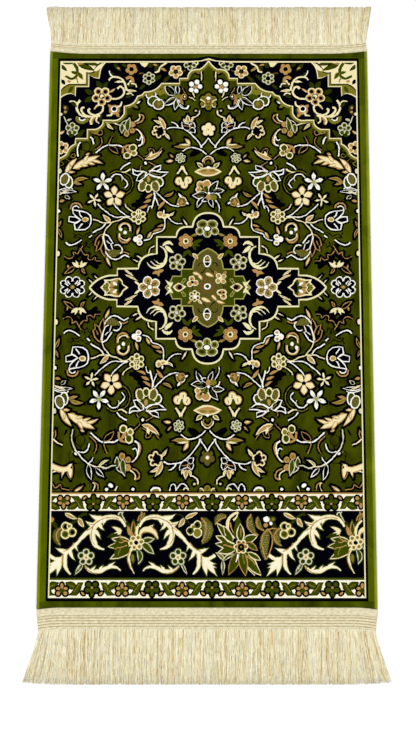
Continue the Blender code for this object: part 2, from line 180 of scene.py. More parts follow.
# Rows begin with the kind of shape and its inks. Then comes a group of numbers for each such shape.
# line: ink; width at its start, width at its end, points as pairs
# leaf: fill, edge; width, bow, base across, base along, tip across, tip along
# barb: ink; the same numbers as a leaf, but broad where it leaves its stem
# dotted: no ink; the same numbers as a leaf
# rose: edge, fill, heart, eye; petals, turn in degrees, radius, across, along
# star: fill, edge, eye; petals, turn in degrees, width of a petal, radius, across, along
# oval: ink; half width, half height, turn in degrees, across, along
# ring: edge, fill; how far across and along its four ovals lie, half width, half height, across, along
# area: ink; corners as pairs
# patch: fill, edge; width of the line round it, corners as pairs
FIELD = (
    # upper middle: scrolling stems, tulips and palmettes under the arch
    ("line", "white",
     (2.1, 2.1, -65, 251, -58, 254, -48, 253.5, -38, 251.5, -30, 246, -20, 236, -13, 227, -11.5, 221),
     (2.1, 2.1, -40, 215.5, -33, 220, -26, 221.7, -16, 219.5, -8, 215, -1, 208),
     (2, 2, 0, 237, -5, 229.5, -10, 224, -10, 221), (1.2, 3.2, -58, 262.5, -53, 261, -49, 258, -47, 254)),
    ("leaf", "navy", None, (3.6, 0, -13, 217, -26, 210)),
    ("leaf", "olive", "tan", (6.4, 1.5, -27, 225.2, -54, 223.5)),
    ("leaf", "cream", None, (3, 0, -28, 225.5, -46, 226.5)),
    ("leaf", "cream", "tan", (6.5, -1, -29, 225.5, -36.5, 236.5)),
    ("line", "cream", (2.6, 2.2, -14, 281.5, -14.5, 276, -19, 271.8, -26, 269.5)),
    ("oval", "grey", (2.2, 1.8, 0, -19.5, 281)),
    ("line", "cream", (1.8, 1.6, -32, 304.2, -26, 301.8, -21, 298),
     (2.8, 1.6, -24.8, 311.5, -23, 306.5, -21.2, 303)),
    ("oval", "tan", (3.8, 3.4, 0, -20.5, 320)),
    ("oval", "white", (4.3, 4.3, 0, -18.2, 328), (3.9, 3.9, 0, -13.4, 320.8), (3.9, 3.6, 0, -19.3, 313.6),
     (3.9, 3.9, 0, -26.8, 315.4), (4.3, 4.3, 0, -26.6, 324.4)),
    ("line", "cream", (2.8, 1.4, -12, 346, -11, 340, -11.4, 330)),
    ("leaf", "navy", "tan", (4, 0, -14, 342, -20, 346)),
    # tulip with a tan flame
    ("leaf", "tan", "cream", (7.5, 0.5, -31, 261, -32.5, 275), (4.6, -1, -28.5, 262, -24, 271.5),
     (4.4, 1, -34.5, 262, -38.5, 269)),
    ("leaf", "navy", "white", (12, 1.5, -27, 251, -42, 263), (11, -1, -28, 252, -23.5, 263),
     (10, 1.5, -30, 251, -20.5, 245)),
    ("line", "tan", (1.8, 1, -27, 252, -31, 255.5, -38.5, 256.5),
     (1.8, 1, -29, 253.5, -27, 257, -25.5, 259.5)),
    # horned rosette
    ("leaf", "tan", "cream", (8, -2, -68, 250, -78.5, 271.5), (5, -1, -72, 258, -86, 265.5),
     (5, 1, -69, 244, -60, 233.5)),
    ("rose", "cream", "tan", "navy", "navy", (5, 55, 11, -77.5, 247.5)),
    ("oval", "navy", (6.5, 7, 0, -75.5, 247.5)),
    ("line", "cream", (1.6, 1.2, -87, 248.6, -83, 248.2, -80, 249.5)),
    # small rosette with two buds
    ("rose", "grey", "olive", "leaf", "olive", (6, 20, 9, -43, 204.5)),
    ("leaf", "cream", "tan", (3.4, 0, -54, 205, -60.5, 211), (5.4, 0, -54.5, 200.2, -66, 199)),
    # hanging drop bud
    ("line", "cream", (5.4, 2.8, -40, 191.5, -43.5, 185, -48, 179),
     (5.4, 3, -40, 191.5, -37, 184.5, -32.5, 177.6)),
    ("oval", "tan", (7.2, 7.2, 0, -44.8, 167.4), (6.8, 6.8, 0, -31.4, 168.8), (6.4, 6, 0, -37, 160.8)),
    ("oval", "cream", (6.2, 6.2, 0, -44.6, 167.6), (5.8, 5.8, 0, -31.6, 169), (5.4, 5, 0, -37, 161.2)),
    ("area", "field", (-43.2, 180.5, -36.6, 180.5, -35.6, 173, -37.5, 167, -39.5, 165.5, -41.5, 171)),
    ("line", "shade", (2, 1.4, -31.5, 171.5, -30.4, 166.5), (1.8, 1.3, -36.8, 164.5, -36.5, 159.6),
     (1.8, 1.3, -45.4, 170.5, -44.6, 165)),
    # cup flower on its stem
    ("line", "white", (2.2, 1.8, -80, 149, -73, 142.5, -65, 135, -58, 130.2, -50, 127.7, -44, 127.5)),
    ("leaf", "leaf", "tan", (4.8, -2, -68, 143.5, -53.5, 151)),
    ("leaf", "tan", None, (5.2, -1.5, -65.5, 136, -77, 121.5)),
    ("patch", "umber", "tan",
     (1.5, -48, 130, -46, 138, -41.5, 144.5, -36, 141, -33, 134, -36, 129, -41, 128.5)),
    ("leaf", "olive", "tan", (5, 0, -41, 129.5, -41.5, 140)),
    ("line", "tan", (1.6, 1.3, -45.5, 131.5, -42, 134.5, -38, 134, -35, 131.5)),
    ("leaf", "white", None, (3.4, 0, -41, 141, -46, 148.5)),
    ("line", "white", (1.6, 1.6, -41, 141.5, -36, 140.5, -34, 137)),
    ("leaf", "white", None, (3.6, 0, -34, 134, -29.5, 130.5), (3, 0, -45, 132, -47.5, 129.5)),
    # forked white stem with brown leaves
    ("leaf", "navy", None, (4.6, 0, -88, 146, -102, 143), (5.4, 0, -90, 138, -108, 135.5),
     (5.4, 0, -94, 130, -115, 129.5)),
    ("leaf", "tan", None, (4.6, 1, -86, 148, -98, 140), (4.8, 0.5, -88, 138.5, -101, 132.8),
     (4.6, 1, -93, 130, -108, 124.5)),
    ("line", "white", (3.6, 2.2, -83.5, 149.5, -82.5, 144, -84, 136, -87, 124),
     (2.4, 1.6, -82, 142, -79, 135, -76.5, 128.5),
     (1.8, 1.8, -86, 127, -90, 127.5, -92.5, 123, -93.5, 118)),
    # big lotus
    ("patch", "navy", "white",
     (1.7, -117.5, 187, -112, 183.8, -101, 183.4, -106, 178.5, -109, 176.5, -116, 179.5),
     (1.7, -100.5, 183, -108, 176.5, -111.5, 168, -103.5, 166.8, -98.5, 172, -95.5, 181),
     (1.7, -88, 184.5, -83, 189.8, -73, 193, -74, 186.5, -80, 183.8),
     (1.7, -92, 183.5, -84, 184, -74, 181.8, -62, 181.5, -68, 177, -73, 173.8, -82, 174.5, -90, 178.5)),
    ("line", "olive", (2, 1.2, -97, 181, -101, 176, -104, 173), (2, 1.2, -90, 182, -82, 178.5, -74, 177.8)),
    ("oval", "white", (6.5, 8, 10, -75, 166)),
    ("oval", "leaf", (4.8, 6.2, 10, -75, 166)),
    ("oval", "cream", (7, 9.6, -14, -101.5, 160)),
    ("oval", "umber", (5.1, 7.6, -14, -101.4, 160)),
    ("dotted", (9.6, 0, -103.5, 151.5, -99.4, 168.4)),
    ("oval", "cream", (7.2, 9.8, 14, -81.8, 159.5)),
    ("oval", "umber", (5.3, 7.8, 14, -81.8, 159.5)),
    ("dotted", (10, 0, -79.8, 151, -84, 168.2)),
    ("oval", "cream", (5.8, 7, 0, -92.5, 156)),
    ("oval", "leaf", (4.2, 5.4, 0, -92.5, 156.4)),
    ("area", "leaf", (-104, 172, -96, 176, -88, 176, -76, 171, -84, 167, -92, 164, -99, 167)),
    ("leaf", "tan", None, (6, 0, -92, 166, -93, 177)),
    ("line", "white", (1.8, 1.6, -93, 179.5, -99, 173, -106, 168),
     (1.8, 1.6, -93, 179.5, -86, 175, -76, 173)),
    ("line", "tan", (1.2, 1.2, -103.5, 192.5, -105.5, 189, -104, 184),
     (1.4, 1.2, -92, 198, -85, 194, -82, 191.5, -86, 188, -91, 184.5)),
    # double-tipped leaf and its dot
    ("line", "tan", (1.2, 1.2, -110, 210, -105, 206, -101, 202),
     (1.1, 1.1, -98, 207, -91, 211.5, -92.5, 219, -86, 218.5, -81, 212, -72, 221.5)),
    ("leaf", "tan", "cream", (8, -2.5, -98.5, 203, -71.5, 217)),
    ("leaf", "cream", None, (5, 0, -90, 206, -87.5, 216)),
    ("oval", "white", (2.3, 2.6, 0, -97.3, 196.5)),
    # acanthus sprig and ghost flower by the side
    ("line", "dark",
     (1.6, 1.6, -197, 226, -190, 230, -184, 226, -184, 219, -190, 216, -196, 219, -197, 226),
     (1.6, 1.6, -190, 230, -188, 236, -181, 233, -176, 227)),
    ("leaf", "dark", None, (4, 0, -197, 216, -200, 232)),
    ("leaf", "cream", "tan", (9, 2, -221, 179.5, -203, 205.5), (5, 0, -214, 186, -214.5, 197),
     (5, 0, -217, 182, -206, 182), (6, 0, -209, 190, -198, 187.5), (12, 1.5, -210, 187, -168, 208.5),
     (7, 0, -194, 198, -186, 210), (6, 0, -199, 194, -185.5, 191.5), (5.5, 0, -188, 198, -174.5, 193.5),
     (6, 1, -182, 201, -163, 195)),
    ("leaf", "white", "tan", (4.2, 0, -190.5, 209.5, -183, 212.5)),
    # stems and flower above it
    ("line", "white", (2.5, 2.5, -175, 213, -167, 219.5, -160, 224, -156, 225.2),
     (2.3, 2.3, -155, 225.6, -147, 225.2, -140, 225, -133, 222.2)),
    ("line", "tan", (1.4, 1.4, -176, 217.5, -169, 223, -165.5, 229, -166, 234.5, -169, 239.5),
     (1.4, 1.4, -155, 227, -153, 233, -149.5, 240)),
    ("leaf", "navy", "tan", (9.5, 1.5, -155, 223, -139.5, 211)),
    ("line", "tan", (4.6, 3, -132.5, 212, -132.5, 219, -129, 223.5, -121, 225.5)),
    ("oval", "cream", (6.2, 6, 0, -126, 208.6), (5.4, 5.2, 0, -115.5, 212.2), (6.6, 6.6, 0, -117.2, 221)),
    ("oval", "leaf", (4.4, 4.2, 0, -126, 208.8)),
    ("oval", "olive", (3.6, 3.4, 0, -115.7, 212.4)),
    ("oval", "leaf", (4.8, 4.8, 0, -117.6, 220.8)),
    ("oval", "dark", (3.4, 3, 0, -122, 214.8)),
    ("leaf", "tan", None, (5.6, 0, -120.5, 212.5, -131, 223.5)),
    ("line", "tan", (2.4, 3.2, -114, 251.5, -108, 248.5, -104, 243.5, -100.5, 237, -100, 230.5, -103, 226)),
    ("line", "white", (1.6, 3.2, -112, 251.5, -107, 247, -103.5, 240, -102.5, 232, -104, 226.5, -109, 224),
     (2.6, 1.6, -104, 241, -105.5, 235.5, -108, 233, -111.5, 234.5)),
    # crescent, and the flower beneath the arch's shoulder
    ("line", "tan", (3, 2.2, -107, 275, -102, 273, -101.5, 267.5, -106, 262.5, -112, 260.5)),
    ("line", "cream", (2, 2.4, -108, 275.5, -107, 270, -110, 265.5, -115.5, 262.5),
     (2, 1.8, -161, 262, -150, 261.2, -143, 259.5, -136, 256.5)),
    ("leaf", "tan", "cream", (5, -0.8, -159, 261, -147.5, 250)),
    ("oval", "tan", (4.8, 5.4, 0, -127.3, 243.8), (4.6, 4.6, 0, -118.3, 248.4), (5.4, 5, 0, -118.8, 258.8)),
    ("oval", "olive", (2.6, 3.2, 0, -127.3, 244.2), (2.4, 2.4, 0, -118.3, 248.8),
     (2.6, 2.2, 0, -121, 258.4)),
    ("leaf", "leaf", "grey", (9, 0, -134.2, 260, -135, 243.5), (10, 1.5, -126, 247, -122.5, 271)),
    ("line", "grey", (1.7, 1.5, -137, 258, -132.5, 263.5, -125, 266.5)),
    # half flower and striped leaves at the edge
    ("leaf", "navy", "white", (7, 1, -231, 150, -203, 150.5)),
    ("leaf", "olive", "cream", (3.6, 1, -231, 145.5, -213, 152.5)),
    ("leaf", "navy", "grey", (6.5, 1, -222, 143.5, -213, 138.5)),
    ("leaf", "tan", None, (5, 0, -230, 135, -221, 137)),
    ("oval", "white", (6.8, 10.5, 0, -215.5, 165.5)),
    ("oval", "leaf", (5.2, 8.8, 0, -215.8, 165.8)),
    ("oval", "white", (7.8, 10.6, -18, -222, 170.5)),
    ("oval", "umber", (5.9, 8.7, -18, -222, 170.5)),
    ("dotted", (11.2, 0, -224.6, 162, -219.6, 178.8)),
    ("line", "white", (1.8, 1.8, -231, 152.8, -224, 155.6, -214, 157.2, -209, 154.5)),
    ("oval", "grey", (2.6, 4.2, 0, -229.5, 183.5)),
    ("leaf", "olive", "tan", (6.4, 2.4, -208.5, 166, -186, 171.5), (4.8, 0, -208.5, 165, -195, 162)),
    # star flowers
    ("star", "white", "white", "sageline", (5, 90, 6.8, 15.8, -163.2, 166)),
    ("star", "dark", None, "dark", (5, 62, 10.5, 17.5, -175.5, 137.5)),
    ("star", "cream", None, "cream", (5, 62, 4, 11.5, -175.5, 138)),
    ("star", "cream", "tan", "navy", (5, 90, 11.6, 17.6, -145, 143)),
    # curls
    ("line", "olive", (1.6, 1.3, -151, 179, -143, 183.6, -135, 183, -128, 180.5, -121, 176, -117.3, 168,
      -117, 160, -121, 152, -127, 147)),
    ("line", "white", (2.2, 2, -150, 173, -145, 178, -140, 178.8, -135, 177, -132, 172.5, -127.5, 168.5,
      -124.5, 163, -129, 156.5)),
    ("line", "grey", (1.6, 1.4, -134.5, 176, -133, 172, -134, 168)),
    ("line", "white", (2.2, 2.6, -136, 185.5, -131, 191.5, -121, 197)),
    ("line", "cream", (1.8, 3.2, -134, 182, -128, 182, -120.5, 186.5)),
    # branch that carries the tulips
    ("line", "white",
     (2, 2, -170, 131, -164, 124.5, -157, 119, -150, 113.5, -142, 110.3, -133, 110.6, -122, 111),
     (2, 2, -146, 133, -142.5, 127, -136, 120.5, -128, 114, -120, 110.5)),
    ("line", "cream", (2.1, 2.1, -117, 105.5, -122, 109, -129, 109.5, -136, 105.5, -147, 102.5, -152, 97,
      -158, 90, -160.3, 82), (2.1, 2.1, -177, 106.5, -170, 105, -162, 101.5, -149, 102)),
    ("line", "white", (2.4, 2.4, -157.5, 100, -163, 93.5, -171, 89.5, -177, 85.5)),
    ("leaf", "tan", "cream", (7.4, 0, -150, 103, -163, 114.5)),
    ("line", "cream", (2, 2, -128, 131, -126, 126, -121, 122, -116, 119)),
    # tulip lying on its side
    ("patch", "navy", "white", (1.8, -180, 107, -181.5, 113, -187, 117.2, -194, 119.6, -202, 120.4, -209,
      122, -207.5, 116, -202, 110, -196, 106, -201, 102, -205.5, 99.5, -204, 90.5, -197, 90, -189, 91,
      -183, 95.5, -180.4, 101), (1.8, -196, 105.5, -204, 110.5, -214, 111, -214.5, 103.5, -205, 101)),
    ("line", "white", (2.2, 2.2, -198.5, 119, -197, 113.5, -194, 110),
     (2.2, 2.2, -193.5, 100, -196.5, 96.5, -199.5, 92.5)),
    ("oval", "cream", (5.4, 4.1, 0, -189, 106.5)),
    ("oval", "tan", (3.9, 2.8, 0, -189.4, 106.3)),
    ("line", "tan", (2.6, 3.2, -212, 123, -210.5, 130, -204, 132.5, -198, 130.5, -195, 125)),
    ("line", "white", (2.2, 2.2, -209, 120, -208, 126, -203, 128, -199, 125.5)),
    # white curved leaf and dark sprig
    ("line", "white", (3, 2, -218, 70.5, -213, 66.5, -205, 67.5, -194, 74.5),
     (2.4, 2.6, -183.5, 77.5, -178.5, 81.5)),
    ("line", "dark", (2.4, 2, -207, 86, -204, 81.5, -198, 83, -191, 80, -186, 84.5, -180, 86, -176, 82),
     (2.4, 2, -202, 82, -206, 77.5, -198, 78.5, -192, 76),
     (2.4, 2, -186, 78, -181, 76, -177, 71, -181, 68, -182, 62, -187, 66, -190, 62, -191, 70)),
    ("leaf", "dark", None, (5, 0, -203, 64, -192, 68), (3.6, 0, -187, 66, -186, 74)),
    # dark drooping tulip
    ("patch", "navy", "tan",
     (1.6, -160, 83.5, -166, 81.5, -171.5, 76, -174, 66, -170.5, 65, -171.5, 56.5, -166, 60, -161.5, 68),
     (1.6, -161, 72, -164.5, 62, -162.5, 54.5, -158.5, 48, -156.5, 56, -157.5, 66)),
    ("patch", "navy", "white", (1.7, -160.5, 84, -153, 80.5, -149, 74, -145.5, 69, -149, 68.5, -147.5, 63,
      -145.5, 57, -152, 58.5, -155.5, 60.5, -158.5, 68, -160, 76)),
    ("line", "tan", (1.5, 1.3, -166.5, 73, -169, 66.5)),
    ("line", "cream", (3.6, 2.4, -161.4, 80.5, -160.2, 73)),
    ("line", "white", (1.9, 1.7, -155.5, 73, -151, 69)),
    # curved olive leaf with its hook
    ("dotted", (13, -4, -156, 55.5, -133, 59)),
    ("line", "white",
     (2.3, 2.3, -157, 56.5, -153, 49.5, -146, 44.5, -139, 44, -132, 48, -127, 50.5, -120.5, 47),
     (2.2, 2, -143, 65.5, -138, 66.5, -132.5, 62, -131.5, 57, -134.5, 52.5)),
    ("line", "tan", (2.2, 2.4, -133, 53, -128, 55.5, -121, 52)),
    ("leaf", "cream", "tan", (5, 0, -156, 48.5, -149, 32)),
    # heart bud
    ("oval", "tan", (10.2, 9.4, 0, -128.2, 93)),
    ("line", "tan", (3.4, 3, -119.6, 96.5, -119, 90, -119.4, 85)),
    ("oval", "cream", (9, 8.2, 0, -128, 92.8)),
    ("line", "cream", (2, 2, -120.4, 95.5, -119.8, 90, -120.2, 86)),
    ("oval", "navy", (7.2, 6.8, 0, -128, 92.6)),
    ("line", "navy", (2.8, 2.4, -122.2, 94.5, -121.8, 87)),
    ("area", "field", (-140, 91, -134, 88, -125, 89, -118.5, 88, -119, 82, -139, 82)),
    ("oval", "leaf", (3.4, 3.2, 0, -127.5, 91.5)),
    ("oval", "white", (2.7, 2.9, 0, -134.2, 91.2), (3, 3.2, 0, -127.6, 86)),
    ("line", "tan", (2.4, 4.6, -137, 85, -136.6, 76.5, -131.5, 71, -124.5, 71.2, -119.8, 77.5)),
    ("line", "cream", (2, 2.6, -136, 84.5, -135, 78.5, -130, 74.6, -124.5, 74, -121, 76.5)),
    # green rosette of the branch, small white flower
    ("rose", "cream", "olive", "leaf", "olive", (6, 30, 13.2, -107.2, 111)),
    ("line", "cream", (2.4, 2, -107.5, 121, -107.5, 111)),
    ("leaf", "cream", "tan", (4.4, 0, -109.5, 82.5, -105, 96)),
    ("oval", "white", (4.6, 4.6, 0, -105, 78.6), (4.4, 4.4, 0, -105, 69.8)),
    ("oval", "tan", (2.6, 2.4, 0, -105.2, 79), (2.6, 2.4, 0, -105, 69.6)),
    ("oval", "white", (4.7, 4.7, 0, -110.8, 75.5)),
    ("oval", "cream", (2, 2, 0, -109.6, 76.6)),
    # leafy stem towards the medallion
    ("leaf", "tan", None, (3.6, 0, -67.5, 98.5, -79, 95), (4, -1, -71, 91.5, -87, 86.5)),
    ("leaf", "cream", "tan", (4.6, 0, -87, 87, -94, 76)),
    ("line", "white",
     (1.9, 1.9, -67, 108.5, -66.8, 96, -70, 89.5, -77, 86, -84, 84, -86.5, 80, -90, 76, -99, 73.2),
     (2, 1.6, -62, 111.5, -57.5, 105.5, -52, 101.5, -46, 100, -40, 100.2)),
    ("leaf", "leaf", "cream", (4.4, -2, -62, 113.5, -52, 119.5)),
    ("oval", "cream", (4.8, 5.8, 25, -74, 114), (4.6, 4.4, 0, -67.5, 111.8), (3.6, 3.4, 0, -62.5, 112.6)),
    ("oval", "tan", (3.2, 3.8, 25, -73.6, 115), (2.8, 2.4, 0, -67.4, 112.6)),
    ("leaf", "white", None, (3.4, 0, -68.5, 116, -68.3, 122.5)),
    # spiky dark leaves over the tan flower
    ("line", "navy", (3, 7, -195.5, 64, -196.5, 57, -200, 51),
     (6.5, 2, -199, 52, -205, 47, -211, 43.5, -220, 45.5), (3.6, 7.6, -195, 61, -191.5, 52.5, -186, 46),
     (7.6, 2.4, -187, 46.5, -181, 40.5, -174, 39, -163, 40)),
    ("barb", "navy", (6, 0, -202, 49, -207.5, 55), (6, 0, -188, 46, -183, 52),
     (6.5, 0, -178, 40, -172.5, 47.5), (6, 0, -178, 40, -170.5, 32.5)),
    ("line", "tan",
     (1.5, 1.1, -192, 65, -197, 57, -200.5, 52.5, -206, 55.5, -206, 49, -212, 45, -220, 48.5),
     (1.5, 1.1, -196, 61, -192, 54.5, -188, 51, -183.5, 51, -183.5, 44.5, -178, 43, -173, 47.5, -171.5,
      42, -163.5, 41.5)),
    ("leaf", "navy", "tan", (7.5, 0.5, -203, 33, -220, 21)),
    ("leaf", "tan", None, (3.4, 0, -213, 29, -214.5, 36.5)),
    ("leaf", "navy", "tan", (5, -1.5, -192, 31, -187, 21.5)),
    ("leaf", "cream", None, (5.6, 0, -198, 31.5, -208.5, 39.5), (5.2, 0, -197.5, 31, -202.5, 42.5),
     (5.2, 0, -195.5, 31, -192.5, 42.5), (5.6, 0, -195.5, 31.5, -184.5, 39.5)),
    ("oval", "leaf", (2.2, 3, 0, -196.7, 37)),
    # bits at the side
    ("leaf", "navy", "tan", (4.4, 0, -231, 94, -226, 105), (5, 1, -231, 92, -225, 77)),
    ("oval", "cream", (3, 4.4, 0, -230, 53)),
    ("oval", "white", (2.2, 3, 0, -230, 120)),
    # hooks outside the medallion
    ("leaf", "cream", "cream", (3, 0, -31.5, 96, -39, 108)),
    ("line", "cream", (2.4, 1.8, -82, 65, -88.5, 61, -91, 53)),
    ("leaf", "cream", "cream", (2.8, 0, -100, 44, -110, 50.5), (2.4, 0, -106, 39.5, -116, 44.5),
     (2.2, 0, -167, 12.5, -174.5, 19.5), (2.2, 0, -175, 5.5, -182.5, 13)),
)

# The flower in the fork of the branches, above the medallion and below it.
FORK_FLOWER = (
    ("rose", "cream", "cream", "cream", "tan", (5, 90, 11.2, 0, 250.5)),
)
LOWER_FORK_FLOWER = (
    ("rose", "umber", "umber", "umber", "umber", (5, 90, 11.2, 0, 245.5)),
    ("oval", "tan", (3.8, 3.8, 0, 0, 245.5)),
    ("oval", "white", (2.3, 2.3, 0, 0, 245.5)),
)

# Motifs on the centre line, mirrored up and down only.
MIDDLE = (
    ("oval", "dark", (14.5, 14.5, 0, 0, 296)),
    ("rose", "olive", "olive", "brown", "tan", (6, 30, 14.6, 0, 296)),
    ("line", "cream", (2.2, 1.6, -13, 299, -8, 297.5, -5, 293.5), (2.2, 1.6, 13, 299, 8, 297.5, 5, 293.5),
     (2.2, 1.4, -11, 287, -7.5, 287.5, -5, 291.5), (2.2, 1.4, 11, 287, 7.5, 287.5, 5, 291.5)),
    ("oval", "white", (3.6, 3, 0, 0, 301.5)),
    ("line", "cream", (2, 2, -8.4, 198, -8, 202, -4, 206, 0, 207.5, 4, 206, 8, 202, 8.4, 198)),
    ("line", "tan", (2, 2, -6, 195.5, -6, 200, -3, 203, 0, 204, 3, 203, 6, 200, 6, 195.5)),
    ("leaf", "olive", "cream", (7, 0, -8, 189, -18, 197.5), (7, 0, 8, 189, 18, 197.5)),
    ("area", "cream", (-21.5, 182.5, -15, 186.5, -8, 189, 0, 190.5, 8, 189, 15, 186.5, 21.5, 182.5, 14,
      178.5, 7, 175.5, 0, 174.8, -7, 175.5, -14, 178.5)),
    ("area", "tan", (-17, 182.8, -9, 186.5, 0, 188.3, 9, 186.5, 17, 182.8, 8, 178.5, 0, 177.5, -8, 178.5)),
    ("oval", "olive", (5, 2.2, 0, -7, 184.3), (5, 2.2, 0, 7, 184.3)),
    ("oval", "white", (3, 2.6, 0, 0, 189.5)),
    # middle lotus
    ("oval", "cream", (6.8, 6.6, 0, -11.8, 161.4), (7.4, 7.2, 0, -2.4, 162.8), (5.2, 5.2, 0, -14.8, 154.2)),
    ("oval", "tan", (5.2, 5, 0, -11.8, 161.4), (5.8, 5.6, 0, -2.4, 162.8), (3.6, 3.6, 0, -14.8, 154.2)),
    ("area", "leaf",
     (-13.5, 162, -9.5, 161, -7, 158, -3.6, 159.5, -0.5, 158, -1.5, 149.5, -12, 150.5, -10, 155)),
    ("line", "tan", (1.4, 1.2, -12, 151.5, -8, 156, -4.5, 152.5)),
    ("leaf", "navy", "white", (12, 1.8, 2.5, 146.5, 16, 168), (10, 1, 6.5, 150, 25.5, 152)),
    ("line", "white", (2.8, 2.2, 12, 148.5, 16, 146, 18.8, 140.5)),
    ("leaf", "navy", "white", (13, 1, 0.5, 146.5, -25.5, 145)),
    ("line", "olive", (1.5, 1.2, -7, 147.5, -14, 148, -20, 146),
     (1.3, 1.1, -7, 143.5, -13, 143.6, -17, 144)),
    ("leaf", "navy", "white", (8, -1.2, -7.5, 142, -17.5, 124)),
    ("line", "white", (1.8, 1.5, -10, 137, -6, 135, -2.5, 135.6)),
    ("leaf", "navy", "white", (8, 0, 1, 141.5, 8, 124.5)),
    ("line", "white", (1.9, 1.4, 11, 137.5, 15, 131.5, 17.4, 124.5, 16.6, 118)),
    ("line", "leaf", (2.2, 1.4, 5, 152, 7, 158, 11, 162.5)),
    ("line", "olive", (1.5, 1.2, 9, 151.8, 14, 153.2, 19, 152.6)),
    ("oval", "olive", (6.8, 4.6, 0, 7, 141.8)),
    ("oval", "tan", (4.2, 5.6, 0, 1, 142.4)),
    ("oval", "olive", (1.6, 1.4, 0, 4, 143)),
    ("oval", "white", (2.2, 2.4, 0, 1.2, 148.2)),
)

# Beneath the arch's edge, in the upper part alone.
UNDER_ARCH = (
    ("leaf", "olive", None, (11, 0, -62, 308, -86, 312), (12, 0, -60, 306, -74, 322)),
    ("oval", "white", (8.6, 7.8, 0, -90, 307)),
    ("oval", "umber", (7.1, 6.4, 0, -90, 307.4)),
    ("oval", "olive", (4.6, 3.8, 0, -90.6, 306.8)),
    ("oval", "white", (10, 9, 0, -86, 296.5)),
    ("oval", "leaf", (8.2, 7.3, 0, -85.8, 296.8)),
    ("oval", "white", (9.6, 9.4, 0, -78, 291.5)),
    ("oval", "umber", (8, 7.8, 0, -78.2, 291.8)),
    ("oval", "brown", (5, 5.6, 20, -79.4, 290.8)),
    ("oval", "olive", (3.4, 3.8, 0, -77, 292.5)),
    ("oval", "white", (2.4, 2.2, 0, -77.5, 299)),
    ("leaf", "leaf", None, (10, 0, -62, 305, -80, 302)),
    ("leaf", "navy", "white", (13.5, 1.5, -52, 307, -68.5, 324.5), (8, 0, -47.5, 308, -50, 325),
     (10, 1, -50, 303, -71.5, 289.5), (9, 0, -48.5, 301, -52.5, 281.5)),
    ("line", "leaf", (2.6, 1.4, -56, 309, -61, 313.5, -64, 318.5)),
    ("line", "olive", (2, 1.2, -53, 301.5, -60, 298, -65, 294.5)),
    ("line", "leaf", (2.2, 1.2, -49, 296, -51.5, 287)),
    ("line", "tan", (1.6, 1.2, -41, 318, -38.5, 313, -36, 309.5)),
    ("leaf", "olive", None, (7, 0, -40, 305, -57, 304)),
    ("leaf", "olive", "tan", (5.4, -1, -44, 303, -39, 290)),
    ("line", "white", (4.6, 3.6, -48, 298.5, -45, 290.5, -39, 285.5, -33, 285.5, -31, 290)),
    ("line", "navy", (1.8, 1.2, -47.6, 297, -44.6, 290.5, -39, 286.2, -34, 285.8)),
    ("oval", "tan", (4.8, 5, 0, -38, 304)),
    ("oval", "navy", (3.6, 3.8, 0, -37.4, 304)),
    ("oval", "white", (1.7, 1.9, 0, -37.2, 304)),
    ("leaf", "white", None, (3.6, 0, -113, 292.5, -106, 297)),
    ("leaf", "olive", None, (6, 0, -118, 291.5, -110, 285)),
    ("line", "white", (2.8, 2.8, -183.5, 238.5, -180, 234.5, -178.3, 227),
     (2.6, 2.6, -199, 230.5, -203, 223, -203, 214, -202, 207)),
    ("leaf", "olive", None, (5, 0, -178, 243, -168, 250)),
    ("line", "tan", (1.6, 1.6, -182, 245.5, -174, 243.5, -168, 241.5, -165, 245, -166.5, 249.5)),
    ("line", "olive", (1.6, 1.6, -213, 209, -209, 211.5, -206, 208, -210, 205, -214, 208),
     (1.8, 1.4, -230, 203, -222, 204, -215, 199), (1.8, 1.4, -230, 199, -224, 195.5, -229, 191.5)),
    ("line", "white", (1.8, 1.4, -221, 209.5, -219, 206)),
)

